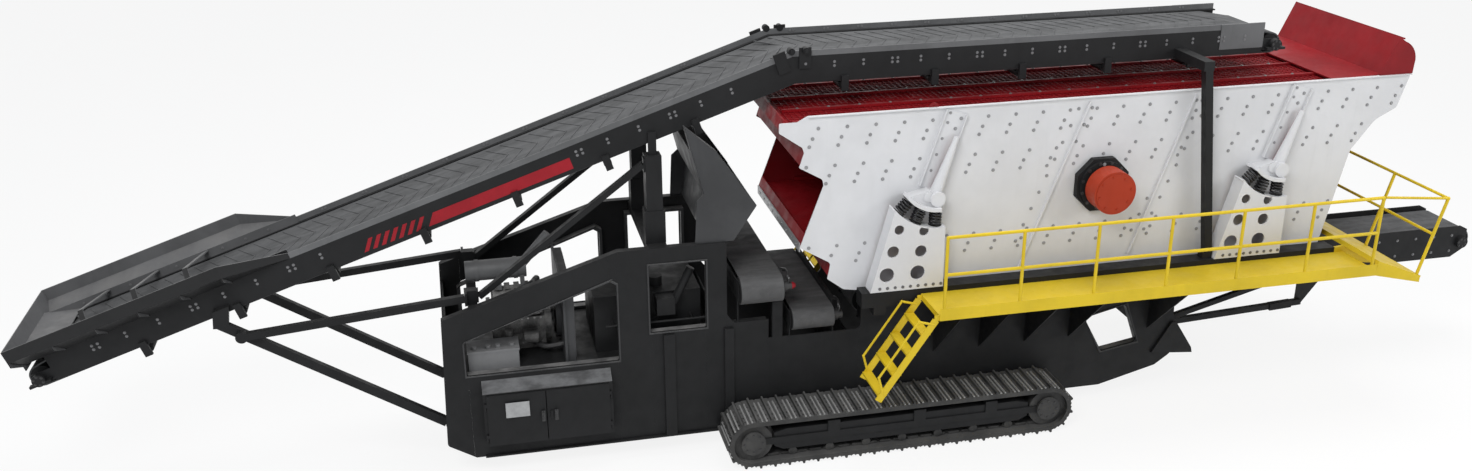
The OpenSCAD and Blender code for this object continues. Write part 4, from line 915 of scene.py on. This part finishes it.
def deck_ledges():
    """Rails along the inner faces of the screen plates that the deck panels bear on."""
    ledges = Shape()
    x0, x1, inner, bar = 4.5, 11.3, 1.1135, 0.05
    for s in SIDES:
        for node in ("middle_deck", "bottom_deck"):
            z = Skin(node).spot(at(7.0, 0.3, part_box(node)[1].z + 0.2), (0, 0, -1))[0].z
            for rise in (0.0, 0.26):
                ledges.box(at(x0, s * inner, z + rise), at(x1, s * (inner - bar), z + rise + bar))
    ledges.put("deck_ledges", SCREEN, "red_paint", FINISH["red_paint"], 0.006)


def lip_strip():
    """Bare steel wear strip along the third lip."""
    low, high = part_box("bottom_deck")
    proud = 0.012
    strip = Shape()
    strip.box(Vector((low.x - proud, low.y + 0.01, low.z - 0.03)),
              Vector((low.x + proud / 2, high.y - 0.01, low.z + 0.09)))
    strip.put("lip_wear_strip", SCREEN, "grey_paint", STEEL, 0.004)
    heads = [(Vector((low.x - proud, low.y + 0.15 + 0.24 * k, low.z + 0.03)), Vector((-1, 0, 0)))
             for k in range(9)]
    bolts("lip_bolts", heads, SCREEN, "grey_paint", 0.012)


# Trim

def stringer_trim():
    """Plain red stripe and seven slashes on the near stringer."""
    trim = Shape()
    face, thick = -0.6205, Vector((0, -0.0025, 0))
    low, high, lean = -0.05, 0.095, 0.11
    stripe, slash, pitch = (4.78, 6.62), (3.97, 4.025), 0.108
    ends = [stripe] + [(slash[0] + pitch * k, slash[1] + pitch * k) for k in range(7)]
    for u0, u1 in ends:
        right = 0.0 if (u0, u1) == stripe else lean
        trim.sheet([sloped(u, face, v) for u, v in
                    ((u0, low), (u1, low), (u1 + right, high), (u0 + lean, high))], thick)
    trim.put("stringer_trim", CHASSIS, "red_paint", TRIM_RED)


def cabinet_trim():
    """Dark handles on the cabinet doors and a blank plate on the left one."""
    doors = (("left_door", "left_cabinet_door", 0.74), ("right_door", "right_cabinet_door", 0.90))
    low, high, half = 0.78, 0.93, 0.022
    grip = ((0.0, 0.80), (0.035, 0.81), (0.035, 0.90), (0.0, 0.91))
    for node, body, x in doors:
        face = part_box(node)[0].y + 0.0005
        handle = Shape()
        handle.box(at(x - half, face, low), at(x + half, face - 0.008, high))
        handle.tube([at(x, face - d, z) for d, z in grip], 0.008)
        handle.put(node + "_handle", body, "charcoal_paint", HOSE, 0.002)
        if node == "left_door":
            blank = Shape()
            blank.box(at(0.285, face, 0.88), at(0.575, face - 0.003, 1.085))
            blank.put("left_door_blank_plate", body, "grey_paint", STEEL, 0.001)


def window_lips():
    """Deep folded lips round the openings of the chassis sides, each with a bead outside."""
    outlines = (((-0.14, 1.405), (1.725, 1.405), (1.725, 2.425), (1.64, 2.48), (-0.14, 1.87)),
                ((2.135, 1.74), (2.84, 1.74), (2.84, 2.64), (2.135, 2.64)),
                ((8.30, 0.78), (8.82, 0.87), (8.60, 1.44), (8.01, 1.30)))
    deep, wide, inset = 0.12, 0.05, 0.012
    bead_out, bead_in, bead_h = 0.024, 0.004, 0.014
    back, face = 0.9295, -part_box("near_side_plate")[0].y
    lips = Shape()
    for s in SIDES:
        for outline in outlines:
            mx = sum(x for x, _ in outline) / len(outline)
            mz = sum(z for _, z in outline) / len(outline)

            def edge(d, y):
                return [at(x + math.copysign(d, x - mx), s * y, z + math.copysign(d, z - mz))
                        for x, z in outline]

            lips.frame(edge(wide, back), edge(-inset, back), Vector((0, -s * deep, 0)))
            lips.frame(edge(bead_out, face), edge(-bead_in, face), Vector((0, s * bead_h, 0)))
    lips.put("window_lips", CHASSIS, "charcoal_paint", LIP, 0.006)


def knee_pins():
    """Hinge pins on the knuckle plates at the knee of the feed conveyor."""
    inner, boss, height = 0.60, 0.09, KNEE.z + 0.3
    pins = Shape()
    for s in SIDES:
        for x in (3.985, 4.165):
            pins.disc(at(x, s * inner, height), (0, s, 0), 0.045, boss)
            pins.disc(at(x, s * (inner + boss), height), (0, s, 0), 0.026, 0.02)
    pins.put("knee_pins", CHASSIS, "charcoal_paint", FINISH["charcoal_paint"], 0.004)


# Power unit

def radiator_fins():
    """Fine upright fins over the radiator's rear face."""
    low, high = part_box("radiator")
    seed = bpy.data.meshes.new("fin_start")
    seed.from_pydata([(high.x + 0.003, -0.72, (low.z + high.z) / 2 - 0.02)], [], [])
    grow("radiator_fins", SLATS, seed, CHASSIS, "grey_paint", FINISH["grey_paint"], Count=73,
         Step=(0.0, 0.02, 0.0), Size=(0.014, 0.004, high.z - low.z - 0.14))


ENGINE, ENGINE_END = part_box("engine")


def on_engine(x, y, z):
    """A point x behind the engine's front and z above its foot."""
    return Vector((ENGINE.x + x, y, ENGINE.z + z))


def engine_pipes():
    """Intake, coolant and oil pipes, and the four thin injector lines."""
    back = ENGINE_END.x - ENGINE.x
    routes = ((0.045, ((0.33, -0.33, 0.72), (0.33, -0.40, 0.86), (0.52, -0.30, 0.92), (0.60, -0.05, 0.88))),
              (0.03, ((0.05, -0.20, 0.30), (-0.10, -0.28, 0.34), (-0.12, -0.34, 0.55), (0.10, -0.36, 0.60))),
              (0.035, ((0.60, -0.25, 0.55), (0.72, -0.40, 0.66), (back + 0.06, -0.45, 0.74),
                       (back + 0.125, -0.45, 0.75))),
              (0.035, ((0.45, -0.29, 0.16), (0.62, -0.46, 0.12), (back + 0.06, -0.50, 0.14),
                       (back + 0.125, -0.50, 0.15))))
    line = ((0.0, -0.22, 0.66), (0.02, -0.27, 0.74), (0.05, -0.29, 0.62), (0.06, -0.24, 0.56))
    pipes = Shape()
    for r, route in routes:
        pipes.tube([on_engine(*p) for p in route], r)
    for k in range(4):
        pipes.tube([on_engine(0.11 + 0.15 * k + x, y, z) for x, y, z in line], 0.008, 6)
    pipes.put("engine_pipes", CHASSIS, "engine_iron", HOSE)


def engine_castings():
    """Ribs and covers on the block, pulleys at its front, and the fan with its hub at its back."""
    iron = Shape()
    for k in range(5):
        x = 0.09 + 0.12 * k
        for y in (-0.315, 0.298):
            iron.box(on_engine(x, y, 0.12), on_engine(x + 0.022, y + 0.017, 0.44))
        iron.box(on_engine(x - 0.02, -0.10, 0.785), on_engine(x + 0.05, 0.10, 0.80))
    for y, z, r in ((0.0, 0.33, 0.13), (-0.25, 0.52, 0.07), (0.22, 0.50, 0.06)):
        iron.disc(on_engine(0.0, y, z), (-1, 0, 0), r, 0.05)
    blades, root, tip, half, pitch = 7, 0.06, 0.34, 0.055, 0.35
    shaft = Vector((ENGINE_END.x, 0.0, ENGINE.z + 0.45))
    hub = shaft + Vector((0.055, 0, 0))
    for k in range(blades):
        a = 2 * math.pi * k / blades
        out = Vector((0, math.cos(a), math.sin(a)))
        side = Vector((pitch, -math.sin(a), math.cos(a))).normalized() * half
        iron.sheet([hub + out * r + side * w for r, w in ((root, -1), (tip, -1), (tip, 1), (root, 1))],
                   Vector((0.006, 0, 0)))
    iron.disc(shaft, (1, 0, 0), 0.08, 0.075)
    iron.put("engine_castings", CHASSIS, "engine_iron", FINISH["engine_iron"], 0.004)


def engine_bolts():
    """Bolts along the joints of the block's near side."""
    starts = [on_engine(0.05 + 0.08 * k, -1.0, z) for k in range(8) for z in (0.45, 0.50, 0.115)]
    found = Skin("engine").spots(starts, (0, 1, 0), 0.012)
    bolts("engine_bolts", found, CHASSIS, "engine_iron", 0.009)


def drum_motors():
    """Hydraulic motors on the cross conveyor drums, with their hoses and one red cap."""
    motors, cap = Shape(), Shape()
    frames = Skin("cross_conveyor_frames")
    out, flange, body, rim = Vector((1, 0, 0)), 0.05, 0.06, 0.03
    upper, lower = 2.20, 1.74
    hose = ((0.06, 0.0, 0.05), (0.07, 0.0, 0.12), (0.08, 0.12, 0.16), (0.06, 0.3, 0.10))
    for z in (upper, lower):
        p = frames.spot(at(6.0, -0.95, z), -out)[0]
        motors.disc(p, out, 0.075, flange)
        motors.disc(p + out * flange, out, 0.055, body)
        for dy in (-0.03, 0.03):
            motors.tube([p + Vector((x, y + dy, rise)) for x, y, rise in hose], 0.011, 8)
        if z == upper:
            cap.disc(p + out * (flange + body), out, 0.045, rim)
            cap.disc(p + out * (flange + body + rim), out, 0.03, 0.02)
    motors.put("drum_motors", CHASSIS, "charcoal_paint", HOSE)
    cap.put("drum_motor_cap", CHASSIS, "red_paint", TRIM_RED)


for build in (coil_springs, screen_bolts, bracket_bolts, conveyor_bolts, exciter_bolts, track_details,
              wheel_bolts, frame_bolts, belt_cleats, wire_cloth, deck_ledges, lip_strip, stringer_trim,
              cabinet_trim, window_lips, knee_pins, radiator_fins, engine_pipes, engine_castings,
              engine_bolts, drum_motors):
    build()


# Camera, floor and light

def photo_camera():
    """The photograph's viewpoint, as fitted to the machine."""
    yaw, pitch, roll = (math.radians(a) for a in (12.316, 21.71, -0.451))
    place = at(0.0, -15.73, 8.963)
    focal, photo_w, sensor = 1327.9, 1472, 36.0          # pixels, pixels and millimetres
    ahead = Vector((math.sin(yaw) * math.cos(pitch), math.cos(yaw) * math.cos(pitch), -math.sin(pitch)))
    level = Vector((math.cos(yaw), -math.sin(yaw), 0.0))
    top = level.cross(ahead)
    right = math.cos(roll) * level + math.sin(roll) * top
    up = math.cos(roll) * top - math.sin(roll) * level
    cam = bpy.data.cameras.new("photo_camera")
    cam.sensor_fit = "HORIZONTAL"
    cam.sensor_width = sensor
    cam.lens = sensor * focal / photo_w
    cam.clip_end = 300.0
    o = bpy.data.objects.new("photo_camera", cam)
    m = Matrix((right, up, -ahead)).transposed().to_4x4()
    m.translation = place
    o.matrix_world = m
    bpy.context.scene.collection.objects.link(o)
    bpy.context.scene.camera = o


def lamp(name, place, aim, size, power):
    """A round white area lamp."""
    d = bpy.data.lights.new(name, "AREA")
    d.shape, d.size, d.energy = "DISK", size, power
    o = bpy.data.objects.new(name, d)
    o.location = place
    o.rotation_euler = (Vector(aim) - Vector(place)).to_track_quat("-Z", "Y").to_euler()
    bpy.context.scene.collection.objects.link(o)


def seen_by_eye(tree):
    """One for camera, glossy and transmission rays, and nought for the rest."""
    p = tree.nodes.new("ShaderNodeLightPath")
    total = p.outputs["Is Camera Ray"]
    for k in ("Is Glossy Ray", "Is Transmission Ray"):
        n = tree.nodes.new("ShaderNodeMath")
        n.operation = "MAXIMUM"
        tree.links.new(total, n.inputs[0])
        tree.links.new(p.outputs[k], n.inputs[1])
        total = n.outputs[0]
    return total


def sky():
    """Soft cool light from all round, which looks white to the eye."""
    world = bpy.data.worlds.new("studio")
    bpy.context.scene.world = world
    world.use_nodes = True
    t = world.node_tree
    t.nodes.clear()
    out, mix = t.nodes.new("ShaderNodeOutputWorld"), t.nodes.new("ShaderNodeMixShader")
    t.links.new(seen_by_eye(t), mix.inputs[0])
    for k, (tone, strength) in enumerate((((0.93, 0.96, 1.0, 1.0), 0.42), ((1.0, 1.0, 1.0, 1.0), 1.0))):
        n = t.nodes.new("ShaderNodeBackground")
        n.inputs["Color"].default_value = tone
        n.inputs["Strength"].default_value = strength
        t.links.new(n.outputs[0], mix.inputs[k + 1])
    t.links.new(mix.outputs[0], out.inputs[0])


def pale_floor():
    """A wide floor just under the tracks that fades to white and keeps the shadow."""
    reach, under, glow_share = 70.0, 0.002, 0.86
    me = bpy.data.meshes.new("floor")
    me.from_pydata([(-reach, -reach, 0), (reach, -reach, 0), (reach, reach, 0), (-reach, reach, 0)], [],
                   [(0, 1, 2, 3)])
    floor = bpy.data.objects.new("floor", me)
    floor.location.z = CAD_BOX[0][2] - under
    bpy.context.scene.collection.objects.link(floor)
    f = Finish("pale_floor", 0.9)
    f.colour((0.86, 0.86, 0.86))
    glow, mix = f.add("ShaderNodeEmission"), f.add("ShaderNodeMixShader")
    glow.inputs["Strength"].default_value = 1.0
    f.link(f.sum("MULTIPLY", seen_by_eye(f.tree), glow_share), mix.inputs[0])
    f.link(f.bsdf.outputs[0], mix.inputs[1])
    f.link(glow.outputs[0], mix.inputs[2])
    f.link(mix.outputs[0], f.out.inputs[0])
    me.materials.append(f.mat)


def studio():
    """Plain soft light and a pale floor."""
    bpy.context.scene.view_settings.view_transform = "Standard"
    sky()
    lamp("key", (-9.0, -14.0, 17.0), (0.5, 0.0, 2.0), 9.0, 2500.0)
    lamp("top", (3.0, 2.0, 19.0), (0.0, 0.0, 2.0), 14.0, 2300.0)
    lamp("side", (16.0, -10.0, 9.0), (3.0, 0.0, 2.0), 7.0, 800.0)
    pale_floor()


photo_camera()
studio()
